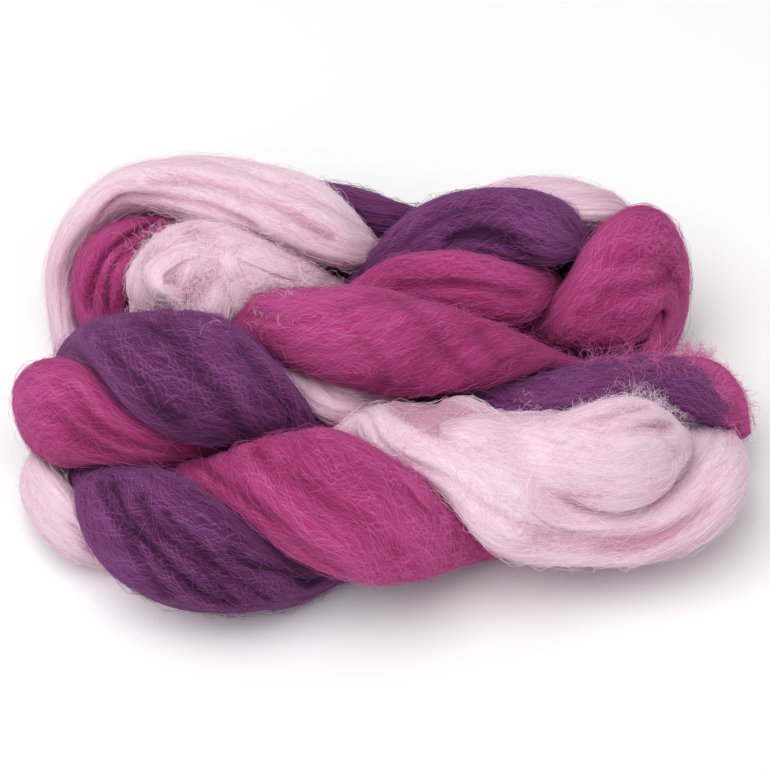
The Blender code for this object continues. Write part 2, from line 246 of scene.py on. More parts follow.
def softened(values: np.ndarray, times: int) -> np.ndarray:
    """Evens out rows of values.

    Args:
        values: the rows, one for each place.
        times: how many times each is averaged with its neighbours.

    Returns:
        The rows, evened out.
    """
    for _ in range(times):
        padded = np.concatenate([values[:1], values, values[-1:]])
        values = (padded[:-2] + 2 * padded[1:-1] + padded[2:]) / 4
    return values


def softened_round(values: np.ndarray, times: int) -> np.ndarray:
    """Evens out a table of rings and sides, along the rings and around them.

    Args:
        values: the table, whose last side is next to its first.
        times: how many times each value is averaged with its neighbours.

    Returns:
        The table, evened out.
    """
    for _ in range(times):
        values = (np.roll(values, 1, axis=1) + 2 * values + np.roll(values, -1, axis=1)) / 4
        values = softened(values, 1)
    return values


def eased(share: np.ndarray) -> np.ndarray:
    """Returns shares from 0 to 1 with a level start and end."""
    share = np.clip(share, 0, 1)
    return share * share * (3 - 2 * share)


def on_roll(length: np.ndarray, turn: np.ndarray, radius: float) -> np.ndarray:
    """Lays corners on a roll, where a pattern closes on itself.

    Args:
        length: how far each corner is along the roll.
        turn: how far round it, in radians.
        radius: the roll's radius.

    Returns:
        Each corner's place on the roll, in millimetres.
    """
    return np.stack([length, radius * np.cos(turn), radius * np.sin(turn)], axis=-1)


def over_floor(points: np.ndarray, least: float = LEAST_HEIGHT) -> np.ndarray:
    """Keeps points off the floor.

    Args:
        points: the points, in millimetres.
        least: the lowest that a point may be.

    Returns:
        The points, with those that are too low raised.
    """
    raised = points.copy()
    raised[..., 2] = np.maximum(points[..., 2], least)
    return raised


def evenly(table: np.ndarray, columns: int, step: float) -> tuple[np.ndarray, np.ndarray]:
    """Reads rows one step apart along the line that a fine table of rows follows.

    Args:
        table: the rows, each a point and what else is known there.
        columns: how many of the columns are the point.
        step: the length from one row to the next, in millimetres.

    Returns:
        The places of the new rows along the line, and the rows.
    """
    moves = np.linalg.norm(np.diff(table[:, :columns], axis=0), axis=1)
    lengths = np.concatenate([[0], np.cumsum(moves)])
    places = np.linspace(0, lengths[-1], round(lengths[-1] / step) + 1)
    return places, np.stack([np.interp(places, lengths, column) for column in table.T], axis=1)


def add_piece(name: str, mesh: bpy.types.Mesh) -> bpy.types.Object:
    """Puts a mesh in the scene, shaded smooth.

    Args:
        name: the piece's name.
        mesh: its mesh.

    Returns:
        The piece.
    """
    mesh.shade_smooth()
    piece = bpy.data.objects.new(name, mesh)
    bpy.context.scene.collection.objects.link(piece)
    return piece


def corners_of(solid: bpy.types.Object) -> list[tuple[float, ...]]:
    """Returns a solid's corners, in millimetres."""
    return [tuple(PER_METRE * c for c in v.co) for v in solid.data.vertices]


@dataclass
class MiddleLine:
    """The line through the middle of a roving, with a section's directions and half sizes at each place.

    Args:
        stretches: the runs that the roving is made of.
        step: the length from one place to the next, in millimetres.
        tangent_blur: length over which the direction is evened out.
        face_blur: length over which the side that faces outwards is evened out.
        fine: points on the smooth curve between two rows.
    """

    stretches: tuple[Stretch, ...]
    step: float
    tangent_blur: float = 12.0
    face_blur: float = 16.0
    fine: int = 20

    def __post_init__(self) -> None:
        """Works out the places, the middles and the directions."""
        rows = []
        for stretch in self.stretches:
            for row in stretch.rows:
                rows.append([*row, *self.away_from(stretch.core, np.array(row[:3], float))])
        table = self.smooth(np.array(rows, float))
        self.middles = table[:, :3]
        self.halves = table[:, 3:5] / 2
        ahead = np.gradient(self.middles, axis=0)
        self.along = unit(softened(ahead, int(self.tangent_blur / self.step) + 1))
        face = softened(table[:, 5:], int(self.face_blur / self.step) + 1)
        self.across = unit(np.cross(self.along, face))
        self.outward = np.cross(self.across, self.along)

    @staticmethod
    def away_from(core: Core, middle: np.ndarray) -> np.ndarray:
        """Finds which way is outwards at a section.

        Args:
            core: the line that the wool winds about.
            middle: the section's middle.

        Returns:
            The direction from the nearest point of the core to the middle.
        """
        left, right = (np.array(end, float) for end in core.value)
        run = right - left
        share = np.clip((middle - left) @ run / (run @ run), 0, 1)
        return unit(middle - (left + share * run))

    def smooth(self, rows: np.ndarray) -> np.ndarray:
        """Draws a smooth curve through the rows, and keeps the places along it.

        Args:
            rows: a section's middle, size and outward direction in each.

        Returns:
            The same for sections one step apart.
        """
        ends = 2 * rows[[0, -1]] - rows[[1, -2]]
        padded = np.concatenate([ends[:1], rows, ends[1:]])
        t = np.linspace(0, 1, self.fine, endpoint=False)[:, None]
        runs = []
        for before, start, end, after in zip(padded, padded[1:], padded[2:], padded[3:]):
            slope = end - before
            square = 2 * before - 5 * start + 4 * end - after
            cube = 3 * (start - end) + after - before
            runs.append(start + (slope * t + square * t**2 + cube * t**3) / 2)
        self.places, table = evenly(np.concatenate([*runs, rows[-1:]]), 3, self.step)
        return table

    def spokes(self, sides: int, fullness: float = 2.3) -> np.ndarray:
        """Returns the vectors from each middle to the corners of its section.

        Args:
            sides: corners of a section, the first on the side that faces the core.
            fullness: power of the section's outline.

        Returns:
            An array of places, sides and coordinates, in millimetres.
        """
        turn = np.arange(sides) * 2 * math.pi / sides - math.pi / 2
        corners = np.stack([np.cos(turn), np.sin(turn)], axis=1)
        corners *= (np.abs(corners) ** fullness).sum(axis=1)[:, None] ** (-1 / fullness)
        spokes = self.across[:, None] * (self.halves[:, :1] * corners[:, 0])[..., None]
        return spokes + self.outward[:, None] * (self.halves[:, 1:] * corners[:, 1])[..., None]


@dataclass(frozen=True)
class Grain:
    """Smooth unevenness of the wool, stretched along it, that closes on itself around it.

    Args:
        cell: length of a cell along the wool, in millimetres.
        lobes: cells around it.
        height: how strong it is, in millimetres or as a share.
        power: under 1, it is soft ridges with narrow valleys between them, and at 1 plain waves.
        level: what is taken off the ridges, so that they both rise and fall.
        cells: cells along the wool before it ends.
    """

    cell: float
    lobes: int
    height: float
    power: float = 1.0
    level: float = 0.0
    cells: int = 1200

    def at(self, seed: int, places: np.ndarray, turns: np.ndarray) -> np.ndarray:
        """Returns how high it is at places along the wool.

        Args:
            seed: picks the values.
            places: lengths along the wool, in millimetres.
            turns: turns round it, from 0 to 1.

        Returns:
            The heights, in the same shape.
        """
        waves = self.waves(np.random.default_rng(seed), places, turns)
        if self.power != 1:
            waves = np.abs(waves) ** self.power
        return self.height * (waves - self.level)

    def waves(self, draw: np.random.Generator, places: np.ndarray, turns: np.ndarray) -> np.ndarray:
        """Draws plain waves.

        Args:
            draw: picks the values.
            places: lengths along the wool, in millimetres.
            turns: turns round it, from 0 to 1.

        Returns:
            Their heights, from -1 to 1.
        """
        table = draw.uniform(-1, 1, (self.cells, self.lobes))
        x = places / self.cell
        y = turns * self.lobes
        i, j = np.floor(x).astype(int), np.floor(y).astype(int)
        fx, fy = eased(x - i), eased(y - j)
        i = np.clip(i, 0, len(table) - 2)
        near, far = j % self.lobes, (j + 1) % self.lobes
        left = table[i, near] * (1 - fy) + table[i, far] * fy
        right = table[i + 1, near] * (1 - fy) + table[i + 1, far] * fy
        return left * (1 - fx) + right * fx


BEND = Grain(38, 5, 0.06)  # how far the ridges stray round the roving, as a share of a turn
LUMPS = Grain(22, 5, 0.6)
FOLDS = Grain(70, 9, 1.1, 0.6, 0.6)
RIDGES = Grain(46, 19, 0.6, 0.7, 0.55)
STRANDS = Grain(30, 36, 0.15)
LAP_FOLDS = Grain(30, 7, 0.5, 0.7, 0.55)
LAP_RIDGES = Grain(20, 24, 0.3, 0.7, 0.55)


class Crease(NamedTuple):
    """A fold line pressed into a roving.

    Args:
        depth: how deep it is, in millimetres.
        width: how far to each side it reaches.
        line: rows of place along the roving, in millimetres, and turn from 0 to 1 that it goes through.
    """

    depth: float
    width: float
    line: tuple[tuple[float, float], ...]


class Hand(NamedTuple):
    """How the wool lies at a place.

    Args:
        place: how far it is along the roving, in millimetres.
        furrows: depth of its furrows, as a share of the usual one.
        lumps: height of its lumps, as a share of the usual one.
        slant: how far a fibre runs round for each step along.
    """

    place: float
    furrows: float
    lumps: float
    slant: float


class Shell:
    """A closed surface of rings of points, which fibres can grow on. The classes made from it set its values.

    Args:
        name: the piece's name.
        points: its corners, ring by ring, in millimetres.
        run: its length.
        girth: its length around.
        slant: how far its fibres run round for each step along, on each ring.
        seed: picks its furrows and its fibres.
    """

    name: str
    points: np.ndarray
    run: float
    girth: float
    slant: np.ndarray
    seed: int

    @staticmethod
    def normals_of(points: np.ndarray) -> np.ndarray:
        """Finds which way a surface faces.

        Args:
            points: its corners, ring by ring.

        Returns:
            The outward direction at each corner.
        """
        around = np.roll(points, -1, axis=1) - np.roll(points, 1, axis=1)
        along = np.gradient(points, axis=0)
        return unit(np.cross(along, around))

    def openness(self, sky: BVHTree) -> np.ndarray:
        """Looks for the room above and around each corner.

        Args:
            sky: a search tree of all the solids together, in millimetres.

        Returns:
            How much of it is free at each corner, from 0 to 1; it thins the fibres, and the finish paints the
            less open places darker as shade.
        """
        rings = np.arange(0, len(self.points), OPEN_SKIP)
        sides = np.arange(0, self.points.shape[1], OPEN_SKIP)
        some = self.points[np.ix_(rings, sides)]
        normals = self.normals_of(self.points)[np.ix_(rings, sides)]
        ways = [self.way(k, height) for k, height in enumerate(OPEN_HEIGHTS)]
        free = np.zeros(some.shape[:2])
        for i in range(len(rings)):
            for j in range(len(sides)):
                start = Vector(some[i, j] + OPEN_START * normals[i, j])
                normal = Vector(normals[i, j])
                for way in ways:
                    if way.dot(normal) > OPEN_LEAST and sky.ray_cast(start, way)[3] is None:
                        free[i, j] += 1 / OPEN_WAYS
        around = np.repeat(free, OPEN_SKIP, axis=1)[:, : self.points.shape[1]]
        columns = [np.interp(np.arange(len(self.points)), rings, column) for column in around.T]
        return softened_round(np.clip(np.stack(columns, axis=1), 0, 1), OPEN_EVENING)

    @staticmethod
    def way(number: int, height: float) -> Vector:
        """Works out one of the directions looked in, which are spread evenly round the upright.

        Args:
            number: which of them.
            height: how steeply up it goes.

        Returns:
            The direction.
        """
        turn, reach = number * GOLDEN_TURN, math.sqrt(1 - height * height)
        return Vector((math.cos(turn) * reach, math.sin(turn) * reach, height))

    def mesh_of(self, lay: np.ndarray, openness: np.ndarray, rise: np.ndarray) -> bpy.types.Object:
        """Makes the closed mesh through the rings.

        Args:
            lay: where each corner is along and around the wool, in millimetres.
            openness: how much free room each corner has, from 0 to 1.
            rise: how far each corner is raised, in millimetres, which also sets its painted light and shade.

        Returns:
            The mesh as an object, with its UV map and its attributes.
        """
        rings, sides = self.points.shape[:2]
        faces, uv = self.faces_of(rings, sides)
        mesh = bpy.data.meshes.new(self.name)
        mesh.from_pydata((self.points.reshape(-1, 3) * MM).tolist(), [], faces)
        layer = mesh.uv_layers.new(name=UV_NAME)
        layer.data.foreach_set("uv", uv.astype(np.float32).ravel())
        layer = mesh.attributes.new(LAY_NAME, "FLOAT_VECTOR", "POINT")
        layer.data.foreach_set("vector", lay.astype(np.float32).ravel())
        slant = np.repeat(self.slant, sides)
        # painted light and shade: the tone is lighter where the surface is raised and darker where it is
        # pressed in
        tone = TONE_LEVEL + PAINTED_LIGHT_AND_SHADE_PER_MM * rise
        for name, values in ((OPEN_NAME, openness), (TONE_AND_SHADE_NAME, tone), (SLANT_NAME, slant)):
            layer = mesh.attributes.new(name, "FLOAT", "POINT")
            layer.data.foreach_set("value", values.astype(np.float32).ravel())
        return add_piece(self.name, mesh)

    @staticmethod
    def faces_of(rings: int, sides: int) -> tuple[list[list[int]], np.ndarray]:
        """Lays out the faces between the rings, and the two that close the ends.

        Args:
            rings: how many rings there are.
            sides: corners of each.

        Returns:
            The faces, and the place of each of their corners on the UV map, along the rings and around them.
        """
        first = np.arange(rings - 1)[:, None]
        side = np.arange(sides)
        start, after = first * sides, (side + 1) % sides
        quads = np.stack([start + side, start + sides + side, start + sides + after, start + after], axis=-1)
        faces = quads.reshape(-1, 4).tolist()
        faces.append(list(range(sides)))
        faces.append(list(range(rings * sides - 1, (rings - 1) * sides - 1, -1)))
        across = np.stack([side, side, side + 1, side + 1], axis=-1) / sides
        along = np.stack([first, first + 1, first + 1, first], axis=-1) / (rings - 1)
        uv = np.stack(np.broadcast_arrays(along, across[None]), axis=-1).reshape(-1, 2)
        ends = np.full((2 * sides, 2), 0.5) * [0, 1]
        return faces, np.concatenate([uv, ends])


@dataclass
class Skin(Shell):
    """The dense surface of a roving, laid over its solid and furrowed along its fibres.

    Args:
        node: the solid's name.
        stretches: the runs that the roving is made of.
        seed: picks the furrows.
        creases: the fold lines that are pressed in, which are also painted darker as shade.
        hands: how the wool lies from place to place.
        step: length from one ring to the next, in millimetres.
        sides: corners of a ring.
        cast_step: length from one ring to the next where the solid's surface is looked for.
        cast_sides: corners of such a ring.
        swell: how far the surface stands off the solid.
        most: how far out the solid's surface may be, as a share of a section's half size.
        least: what stands for it where it isn't found.
        thin: reach from the middle under which the surface stands off less, in millimetres.
        bare: reach up to which there are no furrows.
        bare_ease: length over which they then rise.
        end_ease: length over which they rise from each end.
    """

    node: str
    stretches: tuple[Stretch, ...]
    seed: int
    creases: tuple[Crease, ...] = ()
    hands: tuple[Hand, ...] = (Hand(0, 1, 1, 0),)
    step: float = 2.0
    sides: int = 96
    cast_step: float = 3.0
    cast_sides: int = 32
    swell: float = 0.55
    most: float = 1.15
    least: float = 0.3
    thin: float = 1.5
    bare: float = 2.0
    bare_ease: float = 8.0
    end_ease: float = 10.0

    def build(self, solids: dict[str, bpy.types.Object], sky: BVHTree) -> bpy.types.Object:
        """Makes the surface.

        Args:
            solids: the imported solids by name.
            sky: a search tree of all the solids together, in millimetres.

        Returns:
            The surface as an object, with a UV map and the attributes that its finish and its fibres read.
        """
        self.name = self.node.replace("roving", "wool")
        self.line = MiddleLine(self.stretches, self.step)
        self.run = self.line.places[-1]
        self.girth = 2 * math.pi * math.sqrt((self.line.halves**2).sum(axis=1).mean() / 2)
        table = np.array(self.hands, float)
        placed = (np.interp(self.line.places, table[:, 0], column) for column in table.T[1:])
        self.furrows, self.lumps, self.slant = placed
        self.shear = np.cumsum(self.slant) * self.step / self.girth
        shares = self.shares_of(solids[self.node])
        spokes = self.line.spokes(self.sides) * shares[..., None]
        reach = np.linalg.norm(spokes, axis=2, keepdims=True)
        smooth = self.line.middles[:, None] + spokes * (1 + self.swell / np.maximum(reach, self.thin))
        rise = self.relief(reach[..., 0])
        self.points = over_floor(smooth + self.normals_of(smooth) * rise[..., None])
        turn = 2 * math.pi * (np.arange(self.sides) / self.sides - self.shear[:, None])
        length = self.line.places[:, None] + np.zeros(self.sides)
        return self.mesh_of(on_roll(length, turn, self.girth / (2 * math.pi)), self.openness(sky), rise)

    def shares_of(self, solid: bpy.types.Object) -> np.ndarray:
        """Looks for the solid's surface all round the middle line.

        Args:
            solid: the roving's solid.

        Returns:
            How far along each spoke it is, evened out.
        """
        faces = [tuple(p.vertices) for p in solid.data.polygons]
        tree = BVHTree.FromPolygons(corners_of(solid), faces)
        coarse = MiddleLine(self.stretches, self.cast_step)
        spokes = coarse.spokes(self.cast_sides)
        found = np.full(spokes.shape[:2], np.nan)
        for i, middle in enumerate(coarse.middles):
            for j, spoke in enumerate(spokes[i]):
                distance = tree.ray_cast(Vector(middle), Vector(spoke))[3]
                if distance is not None:
                    found[i, j] = min(distance / np.linalg.norm(spoke), self.most)
        usual = np.nanmedian(found, axis=1)
        usual = np.where(np.isfinite(usual), usual, self.least)
        found = np.where(np.isfinite(found), found, usual[:, None])
        found = softened_round(found, 2)
        turns = np.arange(self.sides) / self.sides * self.cast_sides
        low = np.floor(turns).astype(int)
        part = turns - low
        around = found[:, low] * (1 - part) + found[:, (low + 1) % self.cast_sides] * part
        columns = [np.interp(self.line.places, coarse.places, column) for column in around.T]
        return softened_round(np.stack(columns, axis=1), 2)

    def relief(self, reach: np.ndarray) -> np.ndarray:
        """Works out the furrows, the lumps and the creases.

        Args:
            reach: how far each corner is from the middle, in millimetres.

        Returns:
            How far each corner is raised, in millimetres.
        """
        places = self.line.places[:, None] + np.zeros(self.sides)
        turns = np.arange(self.sides) / self.sides + np.zeros((len(self.line.places), 1))
        stray = turns + (BEND.at(self.seed, places, turns) - self.shear[:, None])
        rise = self.lumps[:, None] * LUMPS.at(self.seed + 1, places, turns)
        ridges = FOLDS.at(self.seed + 2, places, stray) + RIDGES.at(self.seed + 3, places, stray)
        rise += self.furrows[:, None] * (ridges + STRANDS.at(self.seed + 4, places, stray))
        for crease in self.creases:
            rise -= crease.depth * np.exp(-((self.distance_to(crease, places, turns) / crease.width) ** 2))
        room = np.clip((reach - self.bare) / self.bare_ease, 0, 1)
        ends = np.minimum(self.line.places, self.line.places[-1] - self.line.places)
        return rise * room * eased(ends / self.end_ease)[:, None]

    def distance_to(self, crease: Crease, places: np.ndarray, turns: np.ndarray) -> np.ndarray:
        """Measures over the surface.

        Args:
            crease: a crease.
            places: how far each corner is along the roving, in millimetres.
            turns: how far round it, from 0 to 1.

        Returns:
            How far each corner is from the crease, in millimetres.
        """
        least = np.full(places.shape, np.inf)
        for (place_a, turn_a), (place_b, turn_b) in zip(crease.line, crease.line[1:]):
            run = np.array([place_b - place_a, (turn_b - turn_a) * self.girth])
            x = places - place_a
            y = ((turns - turn_a + 0.5) % 1 - 0.5) * self.girth
            share = np.clip((x * run[0] + y * run[1]) / (run @ run), 0, 1)
            least = np.minimum(least, np.hypot(x - share * run[0], y - share * run[1]))
        return least


@dataclass(frozen=True)
class Slope:
    """A plane that leans back like the front of the hank, on which loose wool is laid out.

    A spot on it is so far to the right and so far up the plane from the origin, and its height is how far out
    of the plane it is, all in millimetres. The spots were given as pixels of a view of the hank's front that
    is
    770 pixels wide and high, and the plane turns them into millimetres.

    Args:
        lean: how far the plane leans back from level, in degrees.
        origin: the middle of the plane.
        far: how far off the wool is looked at.
        middle: the pixel that the origin is at, each way.
        pixels_per_mm: pixels to a millimetre at the origin.
        nearness: about how far off the wool's surface is, as a share of how far off the origin is.
    """

    lean: float
    origin: tuple[float, float, float]
    far: float = 200.0
    middle: int = 385
    pixels_per_mm: float = 3.4
    nearness: float = 0.977

    def spot(self, across: int, down: int) -> tuple[float, float]:
        """Works out where a picked spot is, to a tenth of a millimetre.

        Args:
            across: its pixel, counted rightwards.
            down: its pixel, counted downwards.

        Returns:
            How far it is to the right of the origin and up from it, in millimetres.
        """
        scale = self.pixels_per_mm / self.nearness
        return round((across - self.middle) / scale, 1), round((self.middle - down) / scale, 1)

    def axes(self) -> np.ndarray:
        """Returns the directions to the right, up the plane and out of it, as rows."""
        rise = math.radians(self.lean)
        up = (0.0, math.sin(rise), math.cos(rise))
        out = (0.0, -math.cos(rise), math.sin(rise))
        return np.array([(1.0, 0.0, 0.0), up, out])

    def points(self, spots: np.ndarray) -> np.ndarray:
        """Returns the points in space of spots with their heights."""
        return np.array(self.origin) + spots @ self.axes()

    def height(self, sky: BVHTree, spot: np.ndarray) -> float | None:
        """Looks for the wool at a spot.

        Args:
            sky: a search tree of all the solids together.
            spot: the spot.

        Returns:
            How high the wool is, or None where there is none.
        """
        start = self.points(np.array([*spot, self.far]))
        distance = sky.ray_cast(Vector(start), Vector(-self.axes()[2]))[3]
        return None if distance is None else self.far - distance


SLOPE = Slope(50.0, (0.35, 0.0, 25.0))


@dataclass
class Lap(Shell):
    """A lap of wool that lies over the rovings along a line, and evens out what is under it.

    Args:
        name: the piece's name.
        rows: the pixel of each spot, across and down, and a half width and a rise there in millimetres.
        seed: picks its furrows.
        evening: how many times the ground under it is evened out.
        bright: how much lighter its colour is painted, a painted highlight as if it caught more light, from 0
            up.
        step: length from one ring to the next.
        lanes: corners across its top, and across its underside.
        depth: how thick it is in the middle.
        edge: how thick it is at its edges.
        sink: how far its edges lie under the surface of the wool beneath.
        ease: length over which its ends rise.
        roll: radius of the roll that its fibres' pattern is laid round.
        apart: length of that pattern from one lap to the next.
        steepness: how fast its sides rise, which takes the half width divided by this.
        lobe: width of wool over which its furrows come round again.
        fine: points on the line between two stations.
        rounding: how many times the line is evened out.
    """

    name: str
    rows: tuple[tuple[int, int, float, float], ...]
    seed: int
    evening: int = 12
    bright: float = 0.0
    step: float = 1.5
    lanes: int = 30
    depth: float = 2.5
    edge: float = 0.3
    sink: float = 1.2
    ease: float = 8.0
    roll: float = 12.0
    apart: float = 50.0
    steepness: float = 2.2
    lobe: float = 60.0
    fine: int = 40
    rounding: int = 250

    def build(self, sky: BVHTree) -> bpy.types.Object:
        """Makes the lap.

        Args:
            sky: a search tree of all the solids together, in millimetres.

        Returns:
            The lap as an object, with the same map and attributes as a skin.
        """
        table = self.stations()
        middle, half, rise = table[:, :2], table[:, 2:3], table[:, 3:4]
        ahead = unit(softened(np.gradient(middle, axis=0), 3))
        aside = np.stack([-ahead[:, 1], ahead[:, 0]], axis=1)
        share = np.linspace(-1, 1, self.lanes)
        width = half * share
        spots = middle[:, None] + aside[:, None] * width[..., None]
        length = np.arange(len(table))[:, None] * self.step + np.zeros(self.lanes)
        ends = np.minimum(length, length[-1] - length) / self.ease
        full = eased((1 - np.abs(share)) * self.steepness)[None] * eased(ends)
        relief = self.relief(length, width) * full
        self.points = self.rings(spots, self.top(spots, sky, full, rise) + relief, full)
        self.run = length[-1, 0]
        self.girth = 4 * float(half.mean())
        self.slant = np.zeros(len(table))
        lane = np.concatenate([width, width[:, ::-1]], axis=1)
        long = np.concatenate([length, length], axis=1)
        lay = on_roll(long + self.apart * self.seed, lane / self.roll, self.roll)
        room = np.concatenate([full, 0 * full], axis=1)
        # painted light: the finish paints the top lighter by its openness and by the painted highlight, and
        # the underside gets neither
        light = room * (self.openness(sky) + self.bright)
        return self.mesh_of(lay, light, np.concatenate([relief, 0 * relief], axis=1))

    def relief(self, length: np.ndarray, width: np.ndarray) -> np.ndarray:
        """Works out the furrows.

        Args:
            length: how far each corner is along the lap.
            width: how far it is aside from the middle.

        Returns:
            How far each corner of the top is raised.
        """
        turns = (width / self.lobe) % 1
        return LAP_FOLDS.at(self.seed, length, turns) + LAP_RIDGES.at(self.seed + 1, length, turns)

    def top(self, spots: np.ndarray, sky: BVHTree, full: np.ndarray, rise: np.ndarray) -> np.ndarray:
        """Lays the top of the lap over the wool beneath.

        Args:
            spots: where its corners are on the slope.
            sky: a search tree of all the solids together.
            full: how far each corner is from the edges, from 0 to 1.
            rise: how far the lap rises off the wool beneath, ring by ring.

        Returns:
            How high each corner is over the slope.
        """
        ground = self.ground(spots, sky, self.evening)
        bare = self.ground(spots, sky, 0)
        return bare + (ground - bare) * full + (rise + self.sink) * full - self.sink

    def rings(self, spots: np.ndarray, top: np.ndarray, full: np.ndarray) -> np.ndarray:
        """Closes the lap with an underside.

        Args:
            spots: where the corners of the top are on the slope.
            top: how high they are.
            full: how far each is from the edges, from 0 to 1.

        Returns:
            The rings of corners, over the top and back along the underside, in millimetres.
        """
        over = np.concatenate([spots, top[..., None]], axis=2)
        under = over[:, ::-1].copy()
        under[..., 2] -= self.edge + self.depth * full[:, ::-1]
        return over_floor(SLOPE.points(np.concatenate([over, under], axis=1)))

    def stations(self) -> np.ndarray:
        """Returns rows one step apart on a smooth line through the given ones."""
        rows = np.array([(*SLOPE.spot(*row[:2]), *row[2:]) for row in self.rows])
        fine = np.linspace(0, len(rows) - 1, self.fine * len(rows))
        columns = [np.interp(fine, np.arange(len(rows)), column) for column in rows.T]
        return evenly(softened(np.stack(columns, axis=1), self.rounding), 2, self.step)[1]

    def ground(self, spots: np.ndarray, sky: BVHTree, evening: int) -> np.ndarray:
        """Looks for the wool beneath.

        Args:
            spots: where to look on the slope.
            sky: a search tree of all the solids together.
            evening: how many times its hollows are evened out.

        Returns:
            How high it is at each spot.
        """
        found = [[SLOPE.height(sky, spot) for spot in row] for row in spots]
        heights = np.array([[np.nan if height is None else height for height in row] for row in found])
        heights = np.where(np.isfinite(heights), heights, np.nanmin(heights))
        for _ in range(evening):
            across = softened(heights.T, 2).T
            heights = np.maximum(heights, softened(across, 2))
        return softened(softened(heights.T, 2).T, 2)


class Value:
    """A node's output, whose maths is written as Python expressions."""

    def __init__(self, graph: Graph, socket: bpy.types.NodeSocket) -> None:
        """Wraps a socket of a graph."""
        self.graph = graph
        self.socket = socket

    def maths(self, operation: str, *others: Any, vector: bool = False) -> Value:
        """Adds a Math node.

        Args:
            operation: what it does.
            others: the values or numbers that it takes after this one.
            vector: whether it works on vectors.

        Returns:
            Its result.
        """
        kind = "ShaderNodeVectorMath" if vector else "ShaderNodeMath"
        values = dict(enumerate((self, *others)))
        return self.graph.add(kind, {"operation": operation}, values)

    def __add__(self, other: Any) -> Value:
        """Returns the sum."""
        return self.maths("ADD", other)

    def __radd__(self, other: Any) -> Value:
        """Returns the sum."""
        return self.maths("ADD", other)

    def __sub__(self, other: Any) -> Value:
        """Returns the difference."""
        return self.maths("SUBTRACT", other)

    def __rsub__(self, other: Any) -> Value:
        """Returns the difference the other way round."""
        return self.graph.add("ShaderNodeMath", {"operation": "SUBTRACT"}, {0: other, 1: self})

    def __mul__(self, other: Any) -> Value:
        """Returns the product."""
        return self.maths("MULTIPLY", other)

    def __rmul__(self, other: Any) -> Value:
        """Returns the product."""
        return self.maths("MULTIPLY", other)

    def __truediv__(self, other: Any) -> Value:
        """Returns the quotient."""
        return self.maths("DIVIDE", other)

    def __pow__(self, other: Any) -> Value:
        """Returns the power."""
        return self.maths("POWER", other)

    def plus(self, other: Any) -> Value:
        """Returns the sum of two vectors."""
        return self.maths("ADD", other, vector=True)

    def times(self, other: Any) -> Value:
        """Returns the product of two vectors, number by number."""
        return self.maths("MULTIPLY", other, vector=True)

    def scaled(self, size: Any) -> Value:
        """Returns the vector at so many times its length."""
        return self.graph.add("ShaderNodeVectorMath", {"operation": "SCALE"}, {0: self, "Scale": size})


